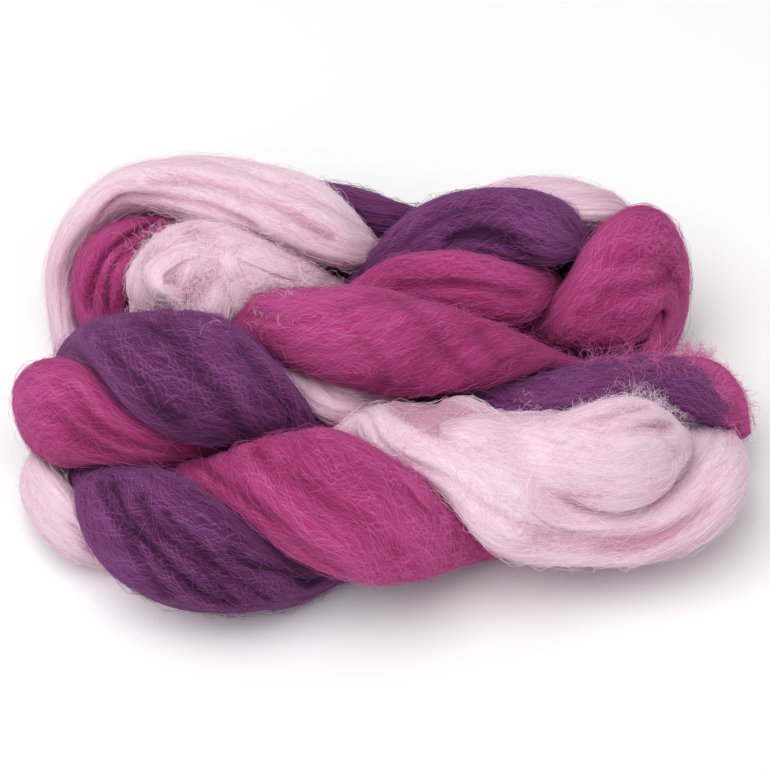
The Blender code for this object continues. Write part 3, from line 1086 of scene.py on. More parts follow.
class Graph:
    """Adds nodes to a material's tree or a Geometry Nodes tree."""

    def __init__(self, tree: bpy.types.NodeTree) -> None:
        """Wraps a tree."""
        self.tree = tree

    def node(self, kind: str, settings: dict[str, Any], values: dict[int | str, Any]) -> bpy.types.Node:
        """Adds a node.

        Args:
            kind: the node's type.
            settings: its own settings, which are set first.
            values: numbers, or values to link, by a socket's name or place.

        Returns:
            The node.
        """
        node = self.tree.nodes.new(kind)
        for name, setting in settings.items():
            if name == "stops":
                self.fill_ramp(node.color_ramp, setting)
            else:
                setattr(node, name, setting)
        for key, value in values.items():
            socket = self.socket_of(node.inputs, key)
            if isinstance(value, Value):
                self.tree.links.new(value.socket, socket)
            else:
                socket.default_value = value
        return node

    def add(self, kind: str, settings: dict[str, Any] | None = None,
            values: dict[int | str, Any] | None = None, output: int | str = 0) -> Value:
        """Adds a node, as node does, and returns one of its outputs.

        Args:
            kind: the node's type.
            settings: its own settings.
            values: numbers, or values to link, by a socket's name or place.
            output: the output's name or place, the first by default.

        Returns:
            That output.
        """
        node = self.node(kind, settings or {}, values or {})
        return Value(self, self.socket_of(node.outputs, output))

    @staticmethod
    def socket_of(sockets: Any, key: int | str) -> bpy.types.NodeSocket:
        """Finds a node's socket.

        Args:
            sockets: its inputs or its outputs.
            key: the socket's name, or its place among the enabled ones.

        Returns:
            The socket.
        """
        enabled = [socket for socket in sockets if socket.enabled]
        if isinstance(key, int):
            return enabled[key]
        return next(socket for socket in enabled if socket.name == key)

    @staticmethod
    def fill_ramp(ramp: bpy.types.ColorRamp, stops: tuple[tuple[float, tuple], ...]) -> None:
        """Sets a ramp's stops.

        Args:
            ramp: the ramp.
            stops: rows of position and colour, as many as the ramp has or more.
        """
        while len(ramp.elements) < len(stops):
            ramp.elements.new(1.0)
        for element, (position, colour) in zip(ramp.elements, stops):
            element.position = position
            element.color = (*colour, 1)

    def link(self, value: Value, node: bpy.types.Node, name: str) -> None:
        """Links a value to a node's input."""
        self.tree.links.new(value.socket, node.inputs[name])

    def attribute(self, name: str, output: str = "Fac") -> Value:
        """Returns a surface's own attribute in a material."""
        return self.add("ShaderNodeAttribute", {"attribute_name": name}, {}, output)

    def noise(self, vector: Value, detail: float, rough: float = 0.5, scale: float = 1.0,
              output: int | str = 0) -> Value:
        """Adds soft noise.

        Args:
            vector: where it is read.
            detail: how many finer layers it has.
            rough: how strong each finer layer is.
            scale: cells to a unit of where it is read.
            output: 0 for a number, or "Color" for a colour.

        Returns:
            The noise, from 0 to 1.
        """
        values = {"Vector": vector, "Scale": scale, "Detail": detail, "Roughness": rough}
        return self.add("ShaderNodeTexNoise", {}, values, output)

    def wander(self, vector: Value, cells: tuple[float, float, float],
               sizes: tuple[float, float, float]) -> Value:
        """Works out how far soft noise moves places.

        Args:
            vector: the places.
            cells: cells of the noise to a unit, each way.
            sizes: how far it moves them at most, each way.

        Returns:
            The moves, as a vector.
        """
        noise = self.noise(vector.times(cells), 1.0, output="Color")
        return noise.plus((-0.5, -0.5, -0.5)).times(sizes)

    def mixed(self, share: Value, first: Any, second: Any) -> Value:
        """Mixes two colours.

        Args:
            share: how much of the second there is, from 0 to 1.
            first: a colour.
            second: another.

        Returns:
            The colour between them.
        """
        values = {"Factor": share, "A": first, "B": second}
        return self.add("ShaderNodeMix", {"data_type": "RGBA"}, values, "Result")


class Lines(NamedTuple):
    """A family of thin lines in the wool.

    Args:
        lean: how far they run round it for each step along.
        spacing: from one line to the next, in millimetres.
        offset: moves the pattern, so that no two families are alike.
    """

    lean: float
    spacing: float
    offset: float


# cells of the finish's patterns to a millimetre along the wool and across it, and how far two of them bend it
DRIFT_CELLS, DRIFT_SIZES = (0.06, 0.09, 0.09), (0.0, 4.0, 4.0)
CRIMP_CELLS, CRIMP_SIZES = (0.6, 0.5, 0.5), (0.0, 0.7, 0.7)
STREAK_CELLS = (0.05, 0.9, 0.9)
FIBRE_CELLS = (0.12, 2.1, 2.1)
CRINKLE_CELLS, CRINKLE_SIZE = (0.3, 0.3, 0.3), 1.1
PATCH_CELLS = 42.0  # to a metre
RAMP_PLACES = (0.12, 0.5, 0.9)  # where the shaded, the usual and the sunlit colour are on the ramp
LINE_CELLS = 0.09  # how often a thin line comes and goes, along it
LINE_UNLIKE = 3.7  # how far apart in that pattern two neighbouring lines are
LINE_LEVEL, LINE_GAIN = 0.47, 7.0  # where in it a line starts, and how fast it is then full
LINE_SHARPNESS = 5.0  # how much fainter a line is for each spacing away from its middle
LINE_SEEN, LINE_LEAST = 1.7, 0.12  # how fast the lines show as the wool gets lighter, and how much at least
FIBRE_HEIGHT, STREAK_HEIGHT, LINE_HEIGHT = 0.5, 0.8, 0.4  # how high each pattern stands, as a share
BUMP_STRENGTH, BUMP_DISTANCE = 0.5, 0.00035  # how strongly the patterns shade, and their height in metres
SHEEN_ROUGHNESS = 0.5
SPECULAR = 0.15


@dataclass(frozen=True)
class Wool:
    """A dyed wool.

    Args:
        name: the finish's name.
        deep: the colour of its shaded fibres.
        main: its usual colour.
        light: the colour of its sunlit fibres.
        hair: the colour of its loose hairs and of the finest lines.
        glow: the colour of its sheen.
        streaks: how much the locks differ in colour.
        grain: how much the single fibres do.
        rise_shade: how much darker the furrows and creases are painted as shade, and how much lighter the
            raised wool is painted as light.
        patches: how much the colour differs from place to place.
        room: how much lighter the more open places are painted, which paints the hollows, seams and contacts
            darker as shade.
        start: where the plainest place is between the shaded colour and the sunlit one.
        frizz: how strongly the finest lines show.
        roughness: how matt it is.
        sheen: how much light the fuzz catches at a slant.
        painted_glow: how strongly the locks, loose hairs and frayed fibres glow of themselves, painted light
            for the light that shines through hairs from behind.
        lines: the families of fine lines.
    """

    name: str
    deep: tuple[float, float, float]
    main: tuple[float, float, float]
    light: tuple[float, float, float]
    hair: tuple[float, float, float]
    glow: tuple[float, float, float]
    streaks: float = 0.5
    grain: float = 0.6
    rise_shade: float = 1.1
    patches: float = 0.2
    room: float = 0.35
    start: float = 0.27
    frizz: float = 0.5
    roughness: float = 0.85
    sheen: float = 0.2
    painted_glow: float = 0.25
    lines: tuple[Lines, ...] = (
        Lines(0.0, 0.45, 3.0), Lines(0.18, 0.5, 11.0), Lines(-0.2, 0.55, 23.0), Lines(0.55, 0.9, 37.0),
        Lines(-0.6, 1.0, 51.0),
    )

    def finish(self) -> bpy.types.Material:
        """Returns the material of the dense surface."""
        material, graph, surface = self.begin(self.name)
        lay = graph.attribute(LAY_NAME, "Vector")
        drift = graph.wander(lay, DRIFT_CELLS, DRIFT_SIZES)
        bent = lay.plus(drift).plus(graph.wander(lay, CRIMP_CELLS, CRIMP_SIZES))
        streak = graph.noise(bent.times(STREAK_CELLS), 3.0, 0.6)
        fine = graph.noise(bent.times(FIBRE_CELLS), 2.0, 0.65)
        lines = self.line(graph, bent, self.lines[0])
        for family in self.lines[1:]:
            lines = lines + self.line(graph, bent, family)
        lines = lines.maths("MINIMUM", 1.0)
        share = self.share(graph, streak, fine)
        stops = tuple(zip(RAMP_PLACES, (self.deep, self.main, self.light)))
        dyed = graph.add("ShaderNodeValToRGB", {"stops": stops}, {"Fac": share}, "Color")
        seen = (share * LINE_SEEN).maths("MINIMUM", 1.0).maths("MAXIMUM", LINE_LEAST)
        colour = graph.mixed(lines * seen * self.frizz, dyed, (*self.hair, 1))
        graph.link(colour, surface, "Base Color")
        relief = {
            "Strength": BUMP_STRENGTH, "Distance": BUMP_DISTANCE,
            "Height": fine * FIBRE_HEIGHT + streak * STREAK_HEIGHT + lines * LINE_HEIGHT,
        }
        graph.link(graph.add("ShaderNodeBump", {}, relief), surface, "Normal")
        return material

    def share(self, graph: Graph, streak: Value, fine: Value) -> Value:
        """Works out how far each place is from the shaded colour to the sunlit one.

        Args:
            graph: the material's graph.
            streak: the pattern of the locks, from 0 to 1.
            fine: the pattern of the single fibres, from 0 to 1.

        Returns:
            The share, from 0 to 1.
        """
        patch = graph.noise(graph.add("ShaderNodeTexCoord", output="Object"), 2.0, scale=PATCH_CELLS)
        tone = graph.attribute(TONE_AND_SHADE_NAME)
        share = (streak - 0.5) * self.streaks + (fine - 0.5) * self.grain
        # painted light and shade: the tone is darker where the wool is pressed into furrows and creases and
        # lighter where it is raised; the patches are random tone
        share = share + (tone - TONE_LEVEL) * self.rise_shade + (patch - 0.5) * self.patches
        # painted shade: the less open a place is, the darker its colour is painted, for the shade in hollows,
        # seams and contacts
        return share + graph.attribute(OPEN_NAME) * self.room + self.start

    @staticmethod
    def line(graph: Graph, lay: Value, family: Lines) -> Value:
        """Draws thin crinkled lines along the fibres, each there for only some of its length.

        Args:
            graph: the material's graph.
            lay: the place along and around the roving, in millimetres.
            family: how the lines lie.

        Returns:
            The lines as a number, 1 in the middle of a line.
        """
        along, near, far = (graph.add("ShaderNodeSeparateXYZ", {}, {"Vector": lay}, axis) for axis in "XYZ")
        round_it = far.maths("ARCTAN2", near) * (near * near + far * far).maths("SQRT")
        moved = lay.times(CRINKLE_CELLS).plus((family.offset, family.offset, 0.0))
        crinkle = graph.noise(moved, 2.0, 0.55) * CRINKLE_SIZE
        across = (round_it + along * family.lean + crinkle) * (1 / family.spacing)
        spot = graph.add("ShaderNodeCombineXYZ", {}, {
            "X": along * LINE_CELLS, "Y": across.maths("FLOOR") * LINE_UNLIKE, "Z": family.offset,
        })
        there = (graph.noise(spot, 0.0) - LINE_LEVEL) * LINE_GAIN
        there = there.maths("MAXIMUM", 0.0).maths("MINIMUM", 1.0)
        off_line = (across.maths("FRACT") - 0.5).maths("ABSOLUTE") * LINE_SHARPNESS
        return (1.0 - off_line).maths("MAXIMUM", 0.0) * there

    def hair_finish(self) -> bpy.types.Material:
        """Returns the material of the locks, the loose hairs and the frayed fibres, which glow a little of
        themselves as painted light.
        """
        material, graph, surface = self.begin(f"{self.name}_hair")
        colour = graph.mixed(graph.attribute(TONE_AND_SHADE_NAME), (*self.main, 1), (*self.hair, 1))
        graph.link(colour, surface, "Base Color")
        # painted light: the fibres glow of themselves in their own colour, for light that shines through them
        graph.link(colour, surface, "Emission Color")
        surface.inputs["Emission Strength"].default_value = self.painted_glow
        return material

    def begin(self, name: str) -> tuple[bpy.types.Material, Graph, bpy.types.Node]:
        """Starts a material.

        Args:
            name: the material's name.

        Returns:
            The material, its graph and its shader with the plain values set.
        """
        material = bpy.data.materials.new(name)
        material.use_nodes = True
        surface = material.node_tree.nodes["Principled BSDF"]
        plain = {
            "Roughness": self.roughness, "Sheen Weight": self.sheen, "Sheen Roughness": SHEEN_ROUGHNESS,
            "Sheen Tint": (*self.glow, 1), "Specular IOR Level": SPECULAR,
        }
        for socket, value in plain.items():
            surface.inputs[socket].default_value = value
        return material, Graph(material.node_tree), surface


class FibreTree(Graph):
    """The Geometry Nodes tree that grows a coat of fibres over a skin.

    Points are scattered over the skin and each becomes a short line. The points of the lines are laid on the
    skin through its UV map and lifted off it, and the lines are made tubes.
    """

    SIZES = ("Density", "Length", "Radius", "Lift", "Arch", "Heading", "Curl", "Crimp")
    OPEN_FULL = 0.25  # free room from which a coat has all its fibres
    LENGTHS = (0.6, 1.35)  # the shortest and the longest fibre, as shares of the usual length
    TONE_SPREAD = 0.28  # how much a fibre's tone differs from the wool's
    PHASES = 100.0  # length of the pattern that fibres stray by
    BENDS = 2.2  # how much of it one fibre takes
    STRAY_SHARE = 0.5  # how far fibres stray freely, as a share of how far they do over the surface
    LOWEST = 0.0003  # the lowest that a fibre may lie, in metres
    OUTSIDE = -1.0  # a place to the left of every fibre, and in front of them, in metres
    TIP = 0.35  # thickness at its ends, as a share of that in its middle
    START = {"Start": (0, 0, 0), "End": (0, 0, 0.01)}  # the line that every fibre starts as

    def __init__(self, run: float, girth: float) -> None:
        """Makes the tree with its inputs.

        Args:
            run: length of the skin, in metres.
            girth: length round it, in metres.
        """
        super().__init__(bpy.data.node_groups.new("fibre_coat", "GeometryNodeTree"))
        self.run = run
        self.girth = girth
        self.input("Geometry", "NodeSocketGeometry")
        self.tree.interface.new_socket("Geometry", in_out="OUTPUT", socket_type="NodeSocketGeometry")
        self.identifiers = {name: self.input(name, "NodeSocketFloat") for name in self.SIZES}
        self.identifiers["Seed"] = self.input("Seed", "NodeSocketInt")
        group = self.tree.nodes.new("NodeGroupInput")
        self.given = {socket.name: Value(self, socket) for socket in group.outputs if socket.name}

    def input(self, name: str, kind: str) -> str:
        """Adds an input to the tree and returns its identifier."""
        return self.tree.interface.new_socket(name, in_out="INPUT", socket_type=kind).identifier

    def named(self, name: str, kind: str = "FLOAT") -> Value:
        """Returns an attribute of the geometry."""
        return self.add("GeometryNodeInputNamedAttribute", {"data_type": kind}, {"Name": name})

    def part(self, vector: Value, axis: str) -> Value:
        """Returns one of a vector's numbers."""
        return self.add("ShaderNodeSeparateXYZ", {}, {"Vector": vector}, axis)

    def chance(self, low: Any, high: Any, offset: int, kind: str = "FLOAT") -> Value:
        """Draws a number or a vector for each point.

        Args:
            low: the least that it is.
            high: the most.
            offset: tells it from the other draws.
            kind: FLOAT or FLOAT_VECTOR.

        Returns:
            What is drawn.
        """
        values = {"Min": low, "Max": high, "Seed": self.given["Seed"] + float(offset)}
        return self.add("FunctionNodeRandomValue", {"data_type": kind}, values)

    def kept(self, points: Value, name: str, value: Value) -> Value:
        """Keeps a number on each point.

        Args:
            points: the points.
            name: the number's name.
            value: the number.

        Returns:
            The points with it.
        """
        settings = {"data_type": "FLOAT", "domain": "POINT"}
        values = {"Geometry": points, "Name": name, "Value": value}
        return self.add("GeometryNodeStoreNamedAttribute", settings, values)

    def grow(self, material: bpy.types.Material, count: int) -> None:
        """Adds the nodes, from the skin to the finished tubes.

        Args:
            material: the fibres' finish.
            count: points along a fibre.
        """
        step = self.add("GeometryNodeSplineParameter", {}, {}, "Factor") - 0.5
        bow = 1 - (step * 2) ** 2
        fibres = self.laid(self.lines(self.roots(), count), step, bow)
        ring = self.add("GeometryNodeCurvePrimitiveCircle", {"mode": "RADIUS"}, {
            "Resolution": 3, "Radius": 1.0,
        })
        tubes = self.add("GeometryNodeCurveToMesh", {}, {
            "Curve": fibres, "Profile Curve": ring, "Fill Caps": True,
            "Scale": self.given["Radius"] * (self.TIP + (1 - self.TIP) * bow),
        })
        tubes = self.add("GeometryNodeRealizeInstances", {}, {"Geometry": tubes})
        tubes = self.add("GeometryNodeSetMaterial", {}, {"Geometry": tubes, "Material": material})
        out = self.tree.nodes.new("NodeGroupOutput")
        self.tree.links.new(tubes.socket, out.inputs[0])

    def roots(self) -> Value:
        """Returns the points where fibres grow, thinned out where there is no room, with what each keeps."""
        open_here = self.add("ShaderNodeMapRange", {"interpolation_type": "SMOOTHSTEP"}, {
            "Value": self.named(OPEN_NAME), "From Min": 0.0, "From Max": self.OPEN_FULL, "To Min": 0.0,
            "To Max": 1.0,
        })
        points = self.add("GeometryNodeDistributePointsOnFaces", {"distribute_method": "RANDOM"}, {
            "Mesh": self.given["Geometry"], "Density": self.given["Density"] * open_here,
            "Seed": self.given["Seed"],
        }, "Points")
        way = self.chance(-1.0, 1.0, 2) * self.chance(0.0, 1.0, 7) * self.given["Heading"]
        points = self.kept(points, "run", self.given["Length"] * self.chance(*self.LENGTHS, 1) / self.run)
        points = self.kept(points, "way", way)
        points = self.kept(points, "high", self.chance(0.0, 1.0, 3))
        # each fibre takes the skin's tone, which holds its painted light and shade, and a random tone of its
        # own
        tone = self.named(TONE_AND_SHADE_NAME) + self.chance(-self.TONE_SPREAD, self.TONE_SPREAD, 4)
        points = self.kept(points, TONE_AND_SHADE_NAME, tone)
        return self.kept(points, "phase", self.chance(0.0, self.PHASES, 5))

    def lines(self, points: Value, count: int) -> Value:
        """Puts a line on each point.

        Args:
            points: the points.
            count: points along a line.

        Returns:
            The lines.
        """
        line = self.add("GeometryNodeCurvePrimitiveLine", {}, self.START)
        line = self.add("GeometryNodeResampleCurve", {"mode": "COUNT"}, {"Curve": line, "Count": count})
        lines = self.add("GeometryNodeInstanceOnPoints", {}, {"Points": points, "Instance": line})
        return self.add("GeometryNodeRealizeInstances", {}, {"Geometry": lines})

    def laid(self, lines: Value, step: Value, bow: Value) -> Value:
        """Lays the lines on the skin, and drops what falls off it.

        Args:
            lines: the lines.
            step: how far each of their points is from the middle of its line, from -0.5 to 0.5.
            bow: 1 in the middle of a line and 0 at its ends.

        Returns:
            The lines in their places.
        """
        spot = self.add("ShaderNodeCombineXYZ", {}, {"X": self.named("phase"), "Y": step * self.BENDS})
        stray = self.add("ShaderNodeTexNoise", {"noise_dimensions": "2D"}, {
            "Vector": spot, "Scale": 1.0, "Detail": 1.0,
        }, "Color").plus((-0.5, -0.5, -0.5))
        where = self.where(step, stray)
        base = self.sampled(where, self.add("GeometryNodeInputPosition"))
        normal = self.sampled(where, self.add("GeometryNodeInputNormal"))
        found = self.sampled(where, self.add("GeometryNodeInputPosition"), "Is Valid")
        high = self.named("high")
        height = self.given["Lift"] * high + self.given["Arch"] * bow * high
        wave = self.chance((-1, -1, -1), (1, 1, 1), 6, "FLOAT_VECTOR")
        position = base.plus(normal.scaled(height)).plus(stray.scaled(self.given["Curl"] * self.STRAY_SHARE))
        position = position.plus(wave.scaled(self.given["Crimp"]))
        lowest = (self.OUTSIDE, self.OUTSIDE, self.LOWEST)
        position = position.maths("MAXIMUM", lowest, vector=True)
        lines = self.add("GeometryNodeSetPosition", {}, {"Geometry": lines, "Position": position})
        missing = self.add("FunctionNodeBooleanMath", {"operation": "NOT"}, {0: found})
        return self.add("GeometryNodeDeleteGeometry", {"domain": "POINT"}, {
            "Geometry": lines, "Selection": missing,
        })

    def where(self, step: Value, stray: Value) -> Value:
        """Works out the places of the lines' points on the UV map.

        Args:
            step: how far each point is from the middle of its line, from -0.5 to 0.5.
            stray: how far it strays, as a vector.

        Returns:
            The places, along the skin and around it.
        """
        root = self.named(UV_NAME, "FLOAT_VECTOR")
        run = self.named("run")
        way = self.named("way") + self.named(SLANT_NAME).maths("ARCTANGENT")
        along = self.part(root, "X") + step * run * way.maths("COSINE")
        turn = self.part(root, "Y") + step * run * way.maths("SINE") * (self.run / self.girth)
        turn = turn + self.part(stray, "X") * self.given["Curl"] * (1 / self.girth)
        return self.add("ShaderNodeCombineXYZ", {}, {"X": along, "Y": turn})

    def sampled(self, where: Value, value: Value, output: str = "Value") -> Value:
        """Reads something off the skin.

        Args:
            where: the places on its UV map.
            value: what is read.
            output: Value, or Is Valid for whether there is a skin at that place.

        Returns:
            What it is at each place.
        """
        return self.add("GeometryNodeSampleUVSurface", {"data_type": "FLOAT_VECTOR"}, {
            "Mesh": self.given["Geometry"], "Value": value, "UV Map": self.named(UV_NAME, "FLOAT_VECTOR"),
            "Sample UV": where,
        }, output)


@dataclass(frozen=True)
class Coat:
    """A coat of fibres over a skin, each a fine closed tube that follows the surface.

    Args:
        density: fibres to a square metre of open surface.
        length: a fibre's usual length, in metres.
        radius: half its thickness, in metres.
        lift: how far it stands off the surface, in metres.
        arch: how much further its middle stands off, in metres.
        heading: how far it turns from the roving's own direction, in radians.
        curl: how far it strays from a straight line, in metres.
        crimp: how far each of its points is off the line, in metres.
        points: points along it.
    """

    density: float
    length: float
    radius: float
    lift: float
    arch: float
    heading: float
    curl: float
    crimp: float
    points: int

    def grow(self, name: str, skin: Shell, base: bpy.types.Object, material: bpy.types.Material,
             seed: int) -> bpy.types.Object:
        """Grows the fibres on a skin.

        Args:
            name: the new piece's name.
            skin: the skin, for its length and girth.
            base: the skin's object.
            material: the fibres' finish.
            seed: picks where they grow.

        Returns:
            The fibres as one plain mesh.
        """
        tree = FibreTree(skin.run * MM, skin.girth * MM)
        tree.grow(material, self.points)
        holder = bpy.data.objects.new(f"{name}_growing", base.data)
        bpy.context.scene.collection.objects.link(holder)
        modifier = holder.modifiers.new("fibres", "NODES")
        modifier.node_group = tree.tree
        for label in FibreTree.SIZES:
            modifier[tree.identifiers[label]] = getattr(self, label.lower())
        modifier[tree.identifiers["Seed"]] = seed
        bpy.context.view_layer.update()
        graph = bpy.context.evaluated_depsgraph_get()
        mesh = bpy.data.meshes.new_from_object(holder.evaluated_get(graph), depsgraph=graph)
        bpy.data.objects.remove(holder)
        mesh.name = name
        return add_piece(name, mesh)


class Tuft(NamedTuple):
    """Loose fibres that start along a line and lie over whatever is under them.

    Args:
        line: the pixel of each spot that the line goes through, across and down.
        heading: the way that the fibres head, in degrees anticlockwise from the right.
        spread: how much they differ in that.
        length: a fibre's usual length, in millimetres.
        count: how many fibres there are.
        lift: how far their tips stand off at most.
        curl: how much they bend one way or the other.
        band: how far from the line they start.
    """

    line: tuple[tuple[int, int], ...]
    heading: float
    spread: float
    length: float
    count: int
    lift: float = 0.8
    curl: float = 0.5
    band: float = 2.0


@dataclass
class Fringe:
    """The loose, frayed fibres of a roving.

    Args:
        name: the piece's name.
        tufts: where they are.
        seed: picks how they curl.
        radius: half a fibre's thickness, in millimetres.
        step: the length from one of its points to the next.
        jump: how far the wool beneath may rise at a step before the fibre stops.
        fewest: points that every fibre has.
        lengths: the shortest and the longest fibre, as shares of the usual length.
        lifts: the least and the most that a fibre is lifted, as shares of the usual lift.
        root: share of its lift that a fibre has where it starts.
        fall: how far it falls for each millimetre along where there is nothing under it.
        bottom: how low it may fall there.
        clear: how far it is off the wool beneath at least.
        bob: how unevenly it lies.
        kink: how much it turns from one point to the next, in radians.
        least: how high over the floor it is at least.
        tip: how much thinner its tip is, as a share.
        tone_range: the darkest and the lightest fibre's tone.
        curl_length: length over which a fibre bends by its curl.
    """

    name: str
    tufts: tuple[Tuft, ...]
    seed: int
    radius: float = 0.032
    step: float = 1.1
    jump: float = 2.0
    fewest: int = 4
    lengths: tuple[float, float] = (0.5, 1.2)
    lifts: tuple[float, float] = (0.1, 1)
    root: float = 0.3
    fall: float = 0.6
    bottom: float = -50.0
    clear: float = 0.35
    bob: float = 0.12
    kink: float = 0.3
    least: float = 0.3
    tip: float = 0.6
    tone_range: tuple[float, float] = (0.35, 1)
    curl_length: float = 6.0

    def build(self, sky: BVHTree) -> bpy.types.Object:
        """Makes the fibres.

        Args:
            sky: a search tree of all the solids together, in millimetres.

        Returns:
            The fibres as one mesh of closed tubes.
        """
        self.draw = np.random.default_rng(self.seed)
        self.points: list[np.ndarray] = []
        self.faces: list[tuple[int, ...]] = []
        self.tones: list[float] = []
        for tuft in self.tufts:
            for _ in range(tuft.count):
                self.add_tube(self.path(tuft, sky))
        mesh = bpy.data.meshes.new(self.name)
        mesh.from_pydata((np.concatenate(self.points) * MM).tolist(), [], self.faces)
        layer = mesh.attributes.new(TONE_AND_SHADE_NAME, "FLOAT", "POINT")
        layer.data.foreach_set("value", np.array(self.tones, np.float32))
        return add_piece(self.name, mesh)

    def path(self, tuft: Tuft, sky: BVHTree) -> np.ndarray:
        """Draws one fibre.

        Args:
            tuft: the tuft that it is in.
            sky: a search tree of all the solids together.

        Returns:
            Its points, in millimetres.
        """
        line = np.array([SLOPE.spot(*place) for place in tuft.line])
        share = self.draw.uniform(0, len(line) - 1 - SHORT_OF_END)
        low = int(share)
        spot = line[low] + (share - low) * (line[low + 1] - line[low])
        spot = spot + self.draw.normal(0, tuft.band, 2)
        heading = math.radians(tuft.heading + self.draw.normal(0, tuft.spread))
        steps = max(self.fewest, round(tuft.length * self.draw.uniform(*self.lengths) / self.step))
        bend = self.draw.normal(0, tuft.curl) * self.step / self.curl_length
        lift = self.draw.uniform(*self.lifts) * tuft.lift
        path = []
        height = None
        for k in range(steps):
            ground = SLOPE.height(sky, spot)
            if height is None:
                height = 0.0 if ground is None else ground
            if ground is not None and ground > height + self.jump:
                if k >= self.fewest:
                    break
                ground = height
            height = max(height - self.fall * self.step, self.bottom if ground is None else ground)
            lifted = lift * (self.root + (1 - self.root) * k / steps)
            path.append((*spot, height + self.clear + lifted + self.draw.normal(0, self.bob)))
            heading += bend + self.draw.normal(0, self.kink)
            spot = spot + self.step * np.array([math.cos(heading), math.sin(heading)])
        return over_floor(SLOPE.points(np.array(path)), self.least)

    def add_tube(self, path: np.ndarray) -> None:
        """Adds one closed three-sided tube.

        Args:
            path: the points that it follows, in millimetres.
        """
        start = len(self.tones)
        along = unit(np.gradient(path, axis=0))
        side = unit(np.cross(along, NEAR_UPRIGHT))
        up = np.cross(side, along)
        radius = self.radius * (1 - self.tip * np.linspace(0, 1, len(path)) ** 2)[:, None]
        turns = [2 * math.pi * k / 3 for k in range(3)]
        rings = [path + radius * (math.cos(t) * side + math.sin(t) * up) for t in turns]
        self.points.append(np.stack(rings, axis=1).reshape(-1, 3))
        self.tones.extend([self.draw.uniform(*self.tone_range)] * (3 * len(path)))
        for k in range(len(path) - 1):
            a = start + 3 * k
            for i, j in ((0, 1), (1, 2), (2, 0)):
                self.faces.append((a + i, a + 3 + i, a + 3 + j, a + j))
        end = start + 3 * (len(path) - 1)
        self.faces.append((start, start + 1, start + 2))
        self.faces.append((end + 2, end + 1, end))


@dataclass
class Roving:
    """One colour of roving: its skin, its coat of locks, its loose hairs, its frayed fibres and its laps.

    Args:
        skin: the dense surface.
        wool: its finish.
        locks: the coat of fine locks that lies along it.
        hairs: the loose hairs that stand off it.
        fringe: the frayed fibres of its loose end, and its wisps.
        laps: the laps of wool that lie over it.
    """

    skin: Skin
    wool: Wool
    locks: Coat
    hairs: Coat
    fringe: Fringe
    laps: tuple[Lap, ...] = ()

    def build(self, solids: dict[str, bpy.types.Object], sky: BVHTree) -> None:
        """Builds and dresses the pieces.

        Args:
            solids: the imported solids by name.
            sky: a search tree of all the solids together, in millimetres.
        """
        finish, hair_finish = self.wool.finish(), self.wool.hair_finish()
        base = self.skin.build(solids, sky)
        pieces = self.coated(self.skin.node.replace("_roving", ""), self.skin, base, finish, hair_finish)
        fringe = self.fringe.build(sky)
        fringe.data.materials.append(hair_finish)
        pieces.append(fringe)
        for lap in self.laps:
            pieces.extend(self.coated(lap.name, lap, lap.build(sky), finish, hair_finish))
        for piece in pieces:
            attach(piece, "root")
            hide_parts(self.skin.node)
            log.info("%s: %d triangles", piece.name, sum(len(p.vertices) - 2 for p in piece.data.polygons))

    def coated(self, name: str, shell: Shell, base: bpy.types.Object, finish: bpy.types.Material,
               hair_finish: bpy.types.Material) -> list[bpy.types.Object]:
        """Dresses a surface and grows its fibres.

        Args:
            name: what the fibres' pieces are called after.
            shell: the surface.
            base: its object.
            finish: its finish.
            hair_finish: the fibres' finish.

        Returns:
            The surface, its locks and its loose hairs.
        """
        base.data.materials.append(finish)
        locks = self.locks.grow(f"{name}_locks", shell, base, hair_finish, shell.seed + LOCK_SEED)
        hairs = self.hairs.grow(f"{name}_hairs", shell, base, hair_finish, shell.seed + HAIR_SEED)
        return [base, locks, hairs]


class Lamp(NamedTuple):
    """A square light.

    Args:
        name: its name.
        place: where it is, in metres.
        size: its width.
        power: its power, in watts.
    """

    name: str
    place: tuple[float, float, float]
    size: float
    power: float


